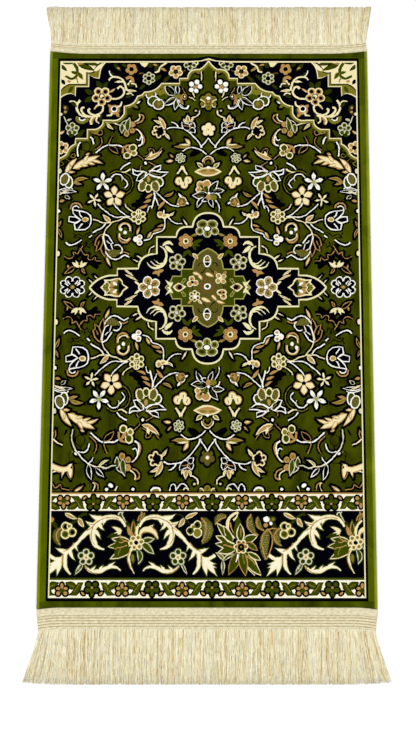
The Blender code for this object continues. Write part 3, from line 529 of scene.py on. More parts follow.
# The two lower corners, in place of the arch's shoulders (given upwards, as the field is).
LOWER_CORNERS = (
    ("leaf", "dark", None, (4, 0, -209, 208, -216, 219)),
    ("line", "grey", (2.4, 2.4, -201.5, 209, -203, 220, -200.5, 229, -196.5, 236.5)),
    ("line", "white", (2.2, 2.2, -197, 235, -190, 243, -184, 249, -176, 254.5),
     (1.8, 2.2, -193, 237.5, -185, 238.5, -179, 235, -176.5, 227)),
    ("line", "cream", (2.2, 2, -176, 254, -168, 257.5, -158, 258, -150, 260.5)),
    ("line", "grey", (2.2, 2, -156, 260, -148, 259, -142, 256.5, -136, 256.5)),
    ("line", "white", (1.8, 1.8, -178, 254, -173, 250, -170.5, 245)),
    ("leaf", "olive", "cream", (4.4, -2, -162, 258.5, -146.5, 248.5)),
    ("leaf", "navy", "white", (8.5, 1.5, -177, 254, -172, 276.5), (7, 0, -167, 260, -153, 272.5)),
    ("leaf", "white", None, (3.6, 0, -198.5, 238.5, -194, 242.5)),
    ("line", "dark", (1.6, 1.6, -202, 236, -207, 240, -205, 249, -206, 254, -192, 253, -186, 253)),
    ("oval", "olive", (1.6, 1.8, 0, -202, 237.5)),
    ("line", "cream", (10, 7.6, -233, 257.5, -222, 260.5, -213, 261.5, -204, 260)),
    ("barb", "cream", (7, 0, -208, 259, -200.5, 253), (6, 0.8, -212.5, 262, -216.8, 273.5),
     (9.5, 0, -204.4, 260, -203.2, 275.5), (5, 0, -222, 262.5, -234, 266)),
    ("line", "tan", (1.8, 1.4, -233, 252.8, -222, 256.8, -213, 258.4, -206.5, 256),
     (1.6, 1.2, -230, 261.5, -222, 264.6, -217, 265.5, -216.5, 271),
     (1.6, 1.2, -200.8, 256, -200.8, 266, -202, 273), (1.3, 1, -209, 265.5, -207.4, 269.5, -205, 273.5)),
    ("line", "cream", (2.6, 1.6, -231, 221, -224, 226, -216, 229)),
    ("leaf", "navy", "tan", (6, 0, -231, 222, -227, 209)),
    # scraps that the border cuts off
    ("line", "tan", (1.4, 1.4, -231, 279, -226, 286, -218, 282, -216, 287, -205, 289)),
    ("leaf", "cream", "tan", (5, 0, -198, 292, -184, 283)),
    ("line", "cream", (2, 1.6, -170, 279, -167, 283, -170, 291)),
    ("line", "tan", (2, 1.6, -169, 279, -163, 282, -162, 289)),
    ("oval", "white", (2.8, 2.4, 0, -149.5, 288), (4.2, 2.8, 20, -143.5, 283)),
    ("line", "cream", (1.8, 1.8, -134, 284, -137, 290)),
    ("oval", "white", (2.6, 2.2, 0, -110.5, 288), (8, 5.6, 0, -76.5, 290)),
    ("oval", "olive", (6, 3.6, 0, -76.5, 290.5)),
    ("line", "white", (1.8, 1.8, -56, 290, -54.5, 284, -50, 281, -47, 285, -46.5, 290)),
    ("oval", "navy", (2.2, 4.6, 0, -50.5, 288)),
    ("line", "white", (1.8, 1.8, -46, 289, -40, 281.5, -33, 282, -28, 288)),
    ("oval", "navy", (3.6, 2.8, 0, -38, 286)),
    ("line", "cream", (1.8, 1.8, -36, 289, -32, 286, -28, 289.5)),
)

CORNER = (
    ("leaf", "leaf", "dark", (9, 0, -206, 359, -178, 346.5), (7, 0, -196, 360, -170, 356)),
    ("leaf", "cream", None, (6, -1.5, -180, 346, -166, 360)),
    ("leaf", "leaf", "dark", (6, 0, -233, 356, -221.5, 346), (7, 0, -230, 361, -212, 359)),
    ("line", "leaf", (5, 3.6, -212, 359, -207, 351, -206, 342, -209, 336, -216, 333.5, -225, 338)),
    ("leaf", "leaf", None, (5, 0, -206, 342, -216.5, 345)),
    ("leaf", "leaf", "olive", (7, 0.5, -206, 344, -197, 332)),
    ("line", "olive", (2.6, 1.4, -208, 335, -206, 331, -204.5, 326)),
    ("line", "tan", (2.4, 2, -205, 357.5, -197, 358.5)),
    ("leaf", "tan", None, (4, 0, -222, 330, -215, 328)),
    ("leaf", "dark", None, (6, 0, -231, 332, -225, 323.5)),
    ("leaf", "leaf", None, (6, 0, -213, 321, -219, 309)),
    ("leaf", "olive", None, (4, 0, -211, 318, -211, 307)),
)

SPANDREL = (
    # big tan rosette and its scrolls
    ("leaf", "shade", None, (8, 0.5, -167.5, 318.5, -175.5, 330), (7, -0.5, -165.5, 319, -158, 328.5),
     (8.5, 0, -181, 308.5, -194, 315.5), (8.5, 0, -181, 303.5, -194, 295)),
    ("line", "cream", (2.6, 3.2, -151.5, 300.5, -143, 300.8, -135.5, 304.5, -132, 311, -134, 317.5,
      -138.5, 320.5, -142.8, 317),
     (2.2, 3.4, -156.5, 331, -152, 335.5, -144.5, 336.3, -137, 333.5, -132.5, 328, -130, 321, -128.6, 314)),
    ("leaf", "cream", "cream", (3.4, -1, -133, 328, -147.5, 327.5)),
    ("line", "white", (1.2, 3, -155.8, 346.5, -154.5, 341.5, -150, 337.5)),
    ("leaf", "shade", None, (4.2, 0, -149, 338, -153, 344.5)),
    ("leaf", "cream", "tan", (3.6, 0, -154.5, 311, -145.5, 317.5)),
    ("line", "cream", (2.6, 3.2, -166, 291, -164.5, 285.5, -166.5, 279.5, -171.5, 275.5, -178, 274,
      -184.5, 276.5, -187.8, 281.5, -185, 284.5), (3, 1.6, -170.5, 291.5, -175, 288.5, -178.5, 283.5)),
    ("line", "tan", (1.4, 1, -172, 289, -175.5, 286.5, -178, 283)),
    ("line", "cream",
     (3.2, 3, -168, 273, -178, 271.5, -188, 272, -194.5, 275.5, -198.5, 281.5, -197, 286, -193.5, 286),
     (2.6, 3.6, -188, 270.8, -197, 272.5, -203, 278.5, -205.8, 286, -204.5, 293, -200.5, 298),
     (2.2, 1.6, -205, 291.5, -210, 296.5, -217.5, 296)),
    ("leaf", "shade", None, (4.6, 0, -205, 287, -215.5, 295.5)),
    ("line", "olive", (4.4, 4.4, -205, 272, -204.5, 265.5, -197, 261.8, -190, 265, -187.5, 270)),
    ("line", "white", (2, 2, -201.5, 270, -200.5, 266.5, -196, 265.2, -192, 268)),
    ("line", "cream", (2.8, 3, -180, 271, -183.8, 265, -182.5, 258.5)),
    ("line", "tan", (2.4, 1.8, -176.5, 271, -180.5, 265.5, -180.5, 259.5)),
    ("line", "cream", (2.6, 1.8, -173.5, 271, -175, 265, -170.5, 260.5)),
    ("leaf", "shade", None, (5, 0, -169, 263, -166.5, 277)),
    ("rose", "cream", "tan", "navy", "cream", (5, -90, 15.6, -167, 304.6)),
    ("oval", "shade", (2.2, 1.8, 0, -165, 302.5)),
    # lily beside the scroll
    ("line", "tan", (4.6, 4.6, -129, 333.5, -124, 336, -119.5, 333.5, -118.3, 327)),
    ("line", "cream", (2.6, 3, -121, 330.5, -124, 327.5, -126.5, 323.5),
     (2.2, 2, -121.5, 325.5, -115.5, 325, -112.3, 319.5)),
    ("oval", "navy", (2.6, 2.4, 0, -126.5, 328.5)),
    ("leaf", "cream", None, (4.2, 0, -129, 314.5, -112.5, 313)),
    ("line", "tan", (1.2, 1.2, -125, 313.8, -117, 313.3)),
    ("line", "cream", (2.4, 1.8, -128.5, 308, -122, 310, -118, 306)),
    ("leaf", "shade", None, (4.6, 0, -130, 302.5, -119, 306.5), (4, 0, -127, 321, -114, 323)),
    # tan dotted flower and buds by the frame
    ("oval", "shade", (9, 8.4, 0, -121, 349)),
    ("rose", "tan", "tan", "tan", "navy", (5, 125, 9.4, -121, 349)),
    ("oval", "navy", (3.6, 3.6, 0, -121, 349)),
    ("leaf", "shade", None, (6.4, 0, -149, 358, -137, 345.5), (5, 0, -137, 357, -127, 354)),
    ("leaf", "tan", None, (3, 0, -144, 352, -138.5, 348.5)),
    ("area", "cream", (-108.5, 360, -105, 355.5, -101, 352.5, -97.5, 353.5, -96, 357, -94, 360)),
    ("leaf", "shade", None, (7, 0, -88, 360, -94, 351), (7.5, -1, -78, 356, -83, 344)),
    ("line", "cream", (2.6, 2.4, -66, 359.5, -74, 354.5, -77, 350.5, -79, 345.5, -84.5, 343.8)),
    ("leaf", "olive", "tan", (3.6, 0, -76, 352, -65.5, 345.5)),
    ("leaf", "tan", None, (3.4, 0, -87.5, 357, -80, 355.5)),
    ("line", "brown", (1.8, 1.4, -109, 342, -104, 342.5, -100.5, 340.5)),
    ("rose", "grey", "olive", "leaf", "shade", (6, 90, 11, -93.5, 334)),
    ("oval", "dark", (3.8, 3.8, 0, -93.5, 334)),
    ("leaf", "shade", None, (6, 0, -84, 331, -73.5, 340), (5.6, 0, -71, 328, -60, 338.5),
     (5, 0, -99, 323.5, -109, 316)),
    ("rose", "cream", "tan", "tan", "navy", (5, 55, 11.2, -51.5, 345)),
    ("oval", "navy", (3.8, 4, 0, -51.5, 345)),
    ("oval", "shade", (2, 2.6, 0, -51.5, 345)),
    ("line", "brown", (1.6, 1.4, -41, 344, -36, 347.5)),
    ("rose", "grey", "leaf", "leaf", "navy", (5, -90, 10.4, -29, 357.5)),
    ("oval", "navy", (3.4, 3.6, 0, -29, 358.5)),
    ("line", "cream", (2, 1.8, -20, 356, -17, 357.5, -17.5, 361)),
    # palmette with horns
    ("oval", "shade", (9, 8.6, 0, -145, 282)),
    ("oval", "tan", (8.4, 8, 0, -147, 282.6)),
    ("leaf", "tan", None, (5, 0, -151, 286, -157, 291), (5, 0, -143, 277, -139.5, 270.5)),
    ("line", "cream", (3.6, 1.8, -143, 287, -137.5, 289.5, -135.5, 296),
     (3.6, 1.8, -150.5, 278, -152, 274, -158.5, 273)),
    ("oval", "white", (5.2, 5.2, 0, -147.5, 283.6)),
    ("oval", "navy", (3.7, 3.6, 0, -147.3, 284)),
    # green rosette with its stalk, edge flowers
    ("line", "grey", (1.4, 1.6, -225.5, 272, -222.5, 264.5, -219, 258)),
    ("leaf", "olive", "grey", (3.6, 0, -221, 265, -213.5, 267.5)),
    ("rose", "grey", "leaf", "leaf", "navy", (5, 90, 11, -212, 251)),
    ("oval", "shade", (1.6, 1.8, 0, -212, 251)),
    ("leaf", "shade", None, (7.5, 0, -204.5, 238, -193, 250.5), (6, 0, -217, 239, -209, 243.5)),
    ("leaf", "cream", "tan", (4.2, 0, -232, 243, -223.5, 248.5)),
    ("rose", "cream", "tan", "tan", "navy", (5, 35, 10.6, -227, 221)),
    ("oval", "navy", (3.8, 3.8, 0, -227, 221)),
    ("line", "shade", (4, 4, -227, 289, -221, 286.5, -222, 279, -228, 275)),
    ("oval", "tan", (2.2, 2.2, 0, -224, 286), (2.2, 2.2, 0, -223.5, 279)),
    ("oval", "cream", (2.4, 2.2, 0, -230, 275.5)),
)

MEDALLION = (
    ("leaf", "tan", "olive", (4, 0, -15.5, 84, -26.5, 80.5)),
    ("rose", "tan", "brown", "tan", "cream", (6, 90, 12.2, -34, 72.3)),
    ("oval", "cream", (4.4, 4.4, 0, -34, 72.3)),
    ("oval", "shade", (2.6, 2.6, 0, -34, 72.3)),
    ("leaf", "leaf", None, (6, 0, -23.5, 69, -8, 75.5), (4.6, 0, -23.5, 68.5, -12, 65),
     (4.6, 0, -24, 67.5, -18.5, 58), (5.4, 0, -31.5, 58.5, -39, 47), (5, 0, -31, 59, -24.5, 47.5)),
    ("rose", "grey", "olive", "navy", "grey", (5, 80, 13.4, -47.2, 39.2)),
    # C-scroll with its leaves
    ("line", "paleline", (1.4, 4.4, -73.5, 64.5, -68, 61, -64.3, 55, -63.6, 48.5, -65, 42),
     (4.6, 4.4, -64.6, 43.5, -67, 37.5, -71.5, 33, -77.5, 30.6),
     (4.4, 0.8, -75, 31.4, -82, 30.2, -89, 33, -93.5, 39.5), (3.4, 0.6, -68, 37.5, -74.5, 37, -82.5, 43.5),
     (3.4, 0.6, -73, 33.5, -80.5, 34.6, -87.5, 41), (2, 5.4, -69, 65, -66, 68.6, -61, 70.6),
     (5.6, 1.6, -62, 70.4, -57.5, 69.6, -54.2, 66.5)),
    ("leaf", "paleline", "paleline", (6, -0.8, -65.5, 65.5, -52.5, 54)),
    ("line", "navy", (1.3, 0.8, -63.5, 66.8, -60, 66.6, -57, 65.2)),
    ("leaf", "tan", None, (5.4, 0, -76, 25, -85, 21.5), (5.8, 0, -77, 24, -67.5, 27.5),
     (5, 0, -77, 26, -75, 17)),
    # lily towards the point
    ("leaf", "tan", "cream", (3.4, 0, -127.5, 28, -114, 18), (3.6, 0.6, -127, 20, -107, 10.5)),
    ("leaf", "cream", None, (3.6, 0, -112, 10, -102, 2)),
    ("area", "cream", (-164.5, 0, -159, 4.5, -157, 8, -158.5, 12.5, -150, 12, -141, 14.5, -134.5, 14.5,
      -130.5, 10.5, -129.5, 6, -121.5, 0)),
    ("area", "leaf", (-160.5, 0, -155.5, 5.5, -154, 10.5, -148, 10.2, -141, 12.5, -135.5, 12.5, -132, 9,
      -131, 5, -124.8, 0)),
    ("area", "navy", (-136.5, 0, -135.5, 8, -132.5, 8, -130, 4, -126.5, 0)),
    ("leaf", "tan", None, (8.5, 0, -150, 0.5, -137.5, 13)),
    ("line", "cream", (1.6, 1.6, -155, 9.5, -150, 4, -152, 0)),
    ("leaf", "white", None, (4.2, 0, -145, 8.5, -138.5, 3)),
    ("leaf", "olive", None, (4.6, 0, -160, 1.5, -150.5, 4.5)),
)

# Whole flowers that sit on the medallion's cross axis.
SIDE_FLOWERS = (
    ("rose", "white", "tan", "sage", "white", (5, 180, 17.2, -88.8, 0.5)),
    ("star", "shade", None, "shade", (5, 180, 4.2, 12.5, -88.8, 0.5)),
    ("star", "tan", None, "white", (5, 180, 1.4, 11, -88.8, 0.5)),
    ("oval", "white", (3.2, 3, 0, -88.8, 0.5)),
    ("ring", "white", "navy", (12.6, 5.2, 6.4, 5.8, -206.5, 0.8), (5.8, 10.4, 6, 6.2, -206.5, 0.8)),
    ("oval", "navy", (13, 5.6, 0, -206.5, 0.8), (5.8, 9.4, 0, -206.5, 0.8), (9.6, 8, 0, -206.5, 0.8)),
    ("line", "white", (2, 1.3, -210.5, 5, -214.5, 10.5), (2, 1.3, -202.5, 5, -198.5, 10.5),
     (2, 1.3, -210.5, -3.4, -214.5, -9), (2, 1.3, -202.5, -3.4, -198.5, -9),
     (1.8, 1.3, -213, 3.2, -218.5, 6.5), (1.8, 1.3, -200, 3.2, -194.5, 6.5),
     (1.8, 1.3, -213, -1.6, -218.5, -5), (1.8, 1.3, -200, -1.6, -194.5, -5)),
    ("oval", "shade", (5, 4.4, 0, -206.5, 0.8)),
    ("oval", "tan", (3, 2.6, 0, -206.5, 0.8)),
)

# Eyes in the arms of the inner cross.
SIDE_EYES = (
    ("area", "cream",
     (-53.6, 0.8, -50, 4.6, -45.5, 7.4, -40.5, 5.2, -33, 0.8, -40.5, -4, -45, -6.6, -50, -3.6)),
    ("area", "tan",
     (-51, 0.8, -48.5, 3.6, -45.3, 5.6, -41, 3.8, -36.4, 0.8, -41, -2.6, -45, -4.8, -48.5, -2.4)),
    ("oval", "brown", (2.6, 3.6, 0, -46, 0.6)),
    ("oval", "navy", (3.6, 4.2, 0, -42.6, 0.8)),
)

CROSS = (
    ("area", "paleline",
     (-53, 9, -57.5, 7.4, -64.8, 11.8, -61.3, 6, -58.6, 2.2, -62.5, 0, -57.6, 0, -54.6, 4.8)),
    ("leaf", "tan", "cream", (6.4, 0, -15.5, 44.5, -23.5, 53.5)),
    ("line", "sageline", (1.3, 1.2, -42, 5.5, -39.6, 9, -37, 13.4, -33.6, 12.4, -36.8, 8, -39, 4.5),
     (1, 0.9, -40.4, 9.5, -37, 8.2)),
    ("line", "dark", (1.5, 1.2, -14.5, 32.5, -13.5, 37, -9.6, 38.6, -6.5, 37),
     (1.8, 1.2, -11, 21.5, -7, 25, -2.5, 30.5)),
    ("line", "shade", (1.5, 1.2, -24, 4.5, -23.6, 0, -24, -4.5)),
)

# The medallion's heart isn't mirrored: each flower is listed.
HEART = (
    ("rose", "brown", "brown", "umber", "brown", (5, 90, 11.6, -1, 1.8)),
    ("oval", "white", (5.4, 5, 0, -0.8, 1.6)),
    ("oval", "leaf", (3.2, 2.9, 0, -0.8, 1.8)),
    ("leaf", "brown", "tan", (4.4, 0, 14.5, 19.5, 9.5, 25.5), (4.4, 0, 24, 20.5, 28, 25.5)),
    ("rose", "cream", "olive", "tan", "cream", (4, 40, 9.6, 19.6, 13.8)),
    ("oval", "cream", (2.6, 2.6, 0, 19.4, 14.2)),
    ("rose", "cream", "tan", "tan", "navy", (3, 100, 9.6, -23.6, 8.8)),
    ("oval", "navy", (2.6, 2.2, 0, -23.8, 8.2), (1.5, 1.3, 0, -25.4, 13)),
    ("leaf", "tan", None, (4, 0, -24.5, -18.5, -30.5, -25.5)),
    ("leaf", "tan", "cream", (4, 0, -15.5, -18.5, -8.5, -26)),
    ("rose", "cream", "umber", "leaf", "white", (6, 30, 9.4, -20.2, -13.2)),
    ("oval", "white", (2.8, 2.6, 0, -19.4, -15)),
    ("oval", "cream", (7.6, 5.2, 0, 21, -7.6), (5.2, 5, 0, 23.6, -14)),
    ("oval", "tan", (6, 3.7, 0, 21, -7.6), (3.6, 3.4, 0, 23.6, -14)),
    ("oval", "navy", (2.3, 1.7, 0, 18.3, -7.8), (2.1, 1.7, 0, 23.6, -7.8), (1.5, 1.6, 0, 23.8, -12.8)),
    ("line", "shade", (1.6, 1.3, 21.5, 5.5, 25, 3, 25.6, 0)),
    ("leaf", "cream", "tan", (5.8, 0, -23.5, 23.5, -10.5, 19), (5.6, 0, -14.5, 20.5, -8.5, 11.5),
     (6.6, 0, -4, 22.5, 9.5, 16.5), (6.6, 0, -10.5, -16, 5.5, -23), (5.8, 0, 5.5, -11.5, 14, -20.5),
     (5.2, 0, 12.5, -20.5, 26.5, -25)),
)

# Rosettes at the medallion's head and foot.
CROWN = (
    ("oval", "grey", (8.8, 6.8, 12, -8.8, 99.2), (8.8, 6.8, -12, 6.4, 99.2), (6.4, 6.6, 0, -12.8, 88.2),
     (6.4, 6.6, 0, 10.4, 88.2), (6.6, 6.8, 0, -1.2, 84.6)),
    ("oval", "olive", (7.3, 5.4, 12, -8.8, 99.2), (7.3, 5.4, -12, 6.4, 99.2), (4.9, 5.1, 0, -12.8, 88.2),
     (4.9, 5.1, 0, 10.4, 88.2), (5.1, 5.3, 0, -1.2, 84.6)),
    ("oval", "shade", (4.6, 3, 12, -8.6, 98.8), (4.6, 3, -12, 6.2, 98.8), (2.8, 3, 0, -12.6, 88.2),
     (2.8, 3, 0, 10.2, 88.2), (1.3, 3.8, 0, -1.2, 84)),
    ("oval", "navy", (6.6, 4.8, 0, -1.2, 92.2)),
    ("oval", "white", (4.4, 3.4, 0, -1.4, 92.2)),
)

# Eyes in the long ends of the inner cross.
LENS = (
    ("oval", "white", (5.9, 9.4, 0, -1.2, 41.2)),
    ("oval", "umber", (4.2, 7.6, 0, -1.2, 41.2)),
    ("oval", "tan", (2.5, 2.8, 0, -1.2, 44.4)),
    ("oval", "navy", (1.3, 1.6, 0, -1.2, 42.4)),
    ("line", "white", (1.2, 1.2, -5.5, 40, 3, 40)),
    ("area", "navy", (-5, 38.8, 2.6, 38.8, 0.8, 35.8, -1.2, 34, -3.2, 35.8)),
)

GUARD = (
    # green leaves to the right of a tan flower, listed from its middle, v from the guard's middle
    ("area", "leaf",
     (10, 9.6, 21.4, 9.6, 25.6, 3.5, 28.6, -3, 32, -9.6, 24, -9.6, 21, -5.6, 17.4, 1, 13.6, 6)),
    ("line", "olive", (1.2, 2, 17.4, 4.5, 20.4, 0, 23.8, -5, 25.6, -7)),
    ("line", "navy", (0.8, 1.6, 21.6, 9.6, 25.6, 3.8, 28.6, -2.6),
     (1.4, 1, 9.8, 9, 14, 5.8, 17, 1.2, 20.6, -5, 24, -9.4)),
    ("leaf", "leaf", "navy", (11.6, 0, 21.5, -1.6, 4.5, -9.4)),
    ("line", "olive", (1.2, 0.9, 17.5, -3, 10.5, -6.2)),
)
TAN_FLOWER = ((-5.3, 6.2, 2.9, 2.9), (5.3, 6.2, 2.9, 2.9), (-5.4, -0.8, 3.2, 2.3), (5.4, -0.8, 3.2, 2.3),
              (0.0, -4.6, 2.3, 4.0))
GREEN_FLOWER = ((0.0, 6.6, 2.6, 4.4), (-6.4, 1.6, 3.8, 3.5), (6.4, 1.6, 3.8, 3.5), (-4.9, -6.4, 3.5, 3.4),
                (4.9, -6.4, 3.5, 3.4))
TAN_HEART = (
    ("oval", "leaf", (4.4, 3.4, 0, 0, 2.4)),
)
GREEN_HEART = (
    ("oval", "leaf", (3.6, 3.2, 0, 0, 0.6)),
    ("oval", "tan", (1.9, 1.6, 0, 0, -2.2)),
    ("oval", "navy", (5.6, 4.2, -40, 13.2, 6.2)),
    ("oval", "tan", (3.2, 1.5, -40, 13.2, 6.4)),
    ("oval", "navy", (5.6, 4.2, 40, -13.2, 6.2)),
    ("oval", "tan", (3.2, 1.5, 40, -13.2, 6.4)),
)
GUARD_RIM = 2.7              # width of the dark outline of the narrow borders' flowers

SCROLL = (
    # trunk and its leaves, listed from the joint's side at the left, and the leaf at the foot
    ("line", "cream", (5.6, 4.4, -233, -401, -224, -406, -215, -405.5, -207, -398.5),
     (4.6, 4.6, -210, -401, -202, -393.5, -194, -386, -187, -378.5),
     (4.6, 9.6, -188, -378.5, -180, -371, -173, -364.6, -166, -359.5),
     (11.5, 3, -170, -362, -162, -354, -152, -347.6, -142, -345.4, -132, -347, -125, -352, -121, -359.5),
     (9, 8.4, -169, -360, -169.5, -368, -168.5, -377, -165, -385.5),
     (8.8, 1.4, -166.5, -382, -163.5, -387.5, -158, -390.8, -151.5, -392.6),
     (6, 8, -208, -398, -209.5, -406, -209.6, -411),
     (8, 1.8, -209.6, -409, -208.6, -417, -205, -423.5, -200.5, -428.6)),
    ("barb", "cream", (8.6, 0.8, -206, -397, -223, -390.5), (7.4, -1.6, -202.5, -393, -193.8, -408.5),
     (5.4, -0.6, -195, -384, -190, -395.5), (7.4, -1.4, -170, -364, -189.5, -377.8),
     (9, 1.4, -164, -358.5, -179.5, -351.6), (10.5, 2, -154, -348.5, -174, -341.2),
     (7.6, -1.6, -160.5, -353, -151.5, -364.8), (5.6, -0.8, -150, -348, -153.6, -357.6),
     (7.6, 1.2, -167, -365, -157.4, -377.6), (9, 1, -217, -410.5, -234, -413.5),
     (13.5, 0, -216, -406, -235.5, -431), (10.5, 0.8, -218, -410, -220.6, -430.5),
     (8, 0, -220, -414, -234.5, -419)),
    ("line", "cream", (2, 6.8, -179.5, -416.4, -176, -420.5, -170.5, -423.8, -162.5, -424.8),
     (6.8, 5.2, -164, -424.8, -156, -423.6, -148, -419.6, -140.5, -417.4),
     (5.2, 1.4, -142.5, -417.8, -136, -418, -131, -419.8, -127, -423.6)),
    ("barb", "cream", (4.6, 0, -169.5, -422.5, -163.8, -416.2), (4.8, 0, -158, -422, -152.8, -415.6),
     (5.6, 0, -145.5, -418, -135.6, -410.8)),
)
SCROLL_TRIM = (
    ("line", "tan", (1.2, 1.7, -212, -396, -206, -393, -200, -388.5, -195.5, -383),
     (1.6, 1.4, -177, -365.5, -170.5, -361, -165, -354.5, -157, -349.5, -148, -346.6, -138, -345.8, -130,
      -348.5), (1.4, 1, -176, -355.5, -170, -356.5, -165, -357.5),
     (1.8, 1, -169, -360, -171, -369, -169.8, -379, -165.5, -386),
     (3.4, 1.8, -212.5, -401, -212.6, -408, -211.6, -415),
     (1.8, 1.2, -179.5, -417.5, -175.5, -422, -169, -425.8, -160, -427.2)),
)
SCROLL_FLOWER = (
    ("rose", "grey", "leaf", "shade", "tan", (5, 90, 12.6, -178.2, -404)),
    ("oval", "cream", (4.2, 4.2, 0, -178.2, -404.2)),
    ("oval", "tan", (2.2, 2.4, 0, -178.2, -404.2)),
)

BAND = (
    ("leaf", "leaf", "grey", (7.2, 0.6, -182.5, -411, -194.5, -429.5)),
    ("line", "grey", (1.3, 1.2, -184.5, -413.5, -188, -418, -189, -422)),
    ("line", "shade", (2.2, 1.4, -202, -357.5, -196, -352, -190, -346, -184, -342, -178, -341)),
    ("leaf", "tan", "cream", (7, -0.8, -210.8, -339.8, -191, -348.6),
     (7.6, -1, -190, -346.5, -181.8, -360.6)),
    ("oval", "cream", (4.6, 4.6, 0, -203.8, -359), (7, 7.2, 0, -209.4, -359.4),
     (7.2, 7.2, 0, -199.6, -367.6), (7.4, 7.4, 0, -209.6, -370.6)),
    ("oval", "olive", (5.2, 5.4, 0, -209.4, -359.4), (5.4, 5.4, 0, -199.6, -367.6),
     (5.6, 5.6, 0, -209.6, -370.6)),
    ("oval", "navy", (3.6, 3.8, 0, -209.2, -359.4), (3.6, 3.8, 0, -199, -367.6)),
    ("oval", "leaf", (3.8, 3.8, 0, -209.6, -370.6)),
    ("oval", "cream", (4.4, 4.4, 0, -203.6, -358.8)),
    ("oval", "olive", (2.7, 2.7, 0, -203.6, -358.8)),
    ("dotted", (12, -6.4, -215.5, -361, -216.5, -387)),
    ("line", "tan", (1.8, 1.2, -215.5, -361.5, -221.5, -367, -222.5, -375, -219.5, -382, -216.5, -386.5)),
    ("oval", "tan", (3.6, 3.8, 0, -230, -349.5)),
    ("leaf", "shade", None, (4, 0, -229, -352, -222, -361)),
    # cluster between the two scrolls: leaves on top
    ("line", "grey", (1.6, 1.4, -131, -345, -131.2, -341, -128.5, -338.6, -126, -340)),
    ("leaf", "leaf", None, (5, 0, -129.5, -341, -124, -352)),
    ("line", "grey", (1.6, 1.4, -124.5, -337.5, -126, -342, -123.5, -347, -121.2, -352, -121, -358)),
    ("line", "tan", (1.6, 1.4, -97.5, -337.5, -97.2, -341, -101, -346, -102.8, -351)),
    ("leaf", "leaf", "tan", (5, 0, -92.5, -339, -100, -352)),
    ("leaf", "shade", None, (5, 0, -114, -370, -118.5, -352), (5, 0, -106, -368, -102.5, -352.5)),
    ("leaf", "tan", None, (6.4, 0.8, -111, -374, -117.8, -357)),
    ("leaf", "leaf", "tan", (8, 0, -108.5, -373, -109.2, -350)),
    ("line", "shade", (1.6, 2.4, -109, -367, -109, -360, -109.2, -355)),
    ("line", "cream", (3.6, 2.8, -104, -373, -103.8, -364, -100.8, -357, -95, -350.5),
     (3.4, 8.6, -99.5, -373.5, -97, -366.5, -91, -363, -84.5, -364),
     (8.4, 1.6, -86.5, -363.6, -80.5, -366, -76, -370.5, -73, -377.6)),
    ("barb", "cream", (5.8, 0, -86, -363, -78.5, -356)),
    ("line", "tan",
     (1.6, 1.4, -98.2, -373, -95, -368.5, -89, -367.2, -82, -368.8, -77.5, -372.5, -73.2, -377.5),
     (1.3, 1.1, -83, -358.5, -80.5, -361.5, -76, -365, -73.5, -371)),
    ("barb", "cream", (7, -1.2, -127, -367.6, -141.5, -359.6), (6, 0.8, -127.5, -367, -140.5, -370.6)),
    ("leaf", "shade", None, (4.6, 0, -131, -369.5, -146, -374.5)),
    ("leaf", "leaf", "cream", (12, 0, -113, -382, -141.5, -376.8), (13, 0, -111, -384.5, -146.6, -389),
     (13.5, 0.8, -108, -388, -143.6, -406.6)),
    ("area", "leaf", (-116, -379, -126, -377.5, -134, -379.5, -136, -384, -137, -390, -136, -396, -137,
      -402, -128, -398.5, -116, -391.5)),
    ("line", "tan", (1.8, 1.2, -117, -381.5, -123, -379.6, -127.5, -376.5, -128.6, -371),
     (1.6, 1.2, -118, -386.5, -126, -389.5, -132, -390.5, -136, -392.5),
     (1.6, 1.2, -119, -379, -125.5, -382.5, -130.5, -381.5)),
    ("line", "olive", (1.8, 1.4, -127, -390, -129.5, -396, -131, -401)),
    ("leaf", "leaf", "grey", (9.6, 0, -97, -381, -77, -377.2), (11.4, 0, -96, -382.5, -78.2, -399.4),
     (9, 4.2, -103.5, -392, -101.6, -414.4)),
    ("line", "cream", (4, 2.6, -110.8, -391, -114.6, -399, -115, -407, -113, -415),
     (2.8, 1.2, -113.4, -413, -111.4, -420, -106.6, -427.6)),
    ("line", "tan", (1.5, 1, -113.5, -394, -116.6, -402, -116.6, -410, -112.6, -420)),
    ("leaf", "olive", None, (5.4, 0, -110.5, -399, -108.5, -412.5)),
    ("rose", "cream", "tan", "olive", "cream", (6, 8, 12.8, -104.6, -382.6)),
    ("oval", "cream", (5.2, 5, 0, -104.6, -382.8)),
    ("oval", "navy", (3.6, 3.4, 0, -104.6, -382.8)),
)

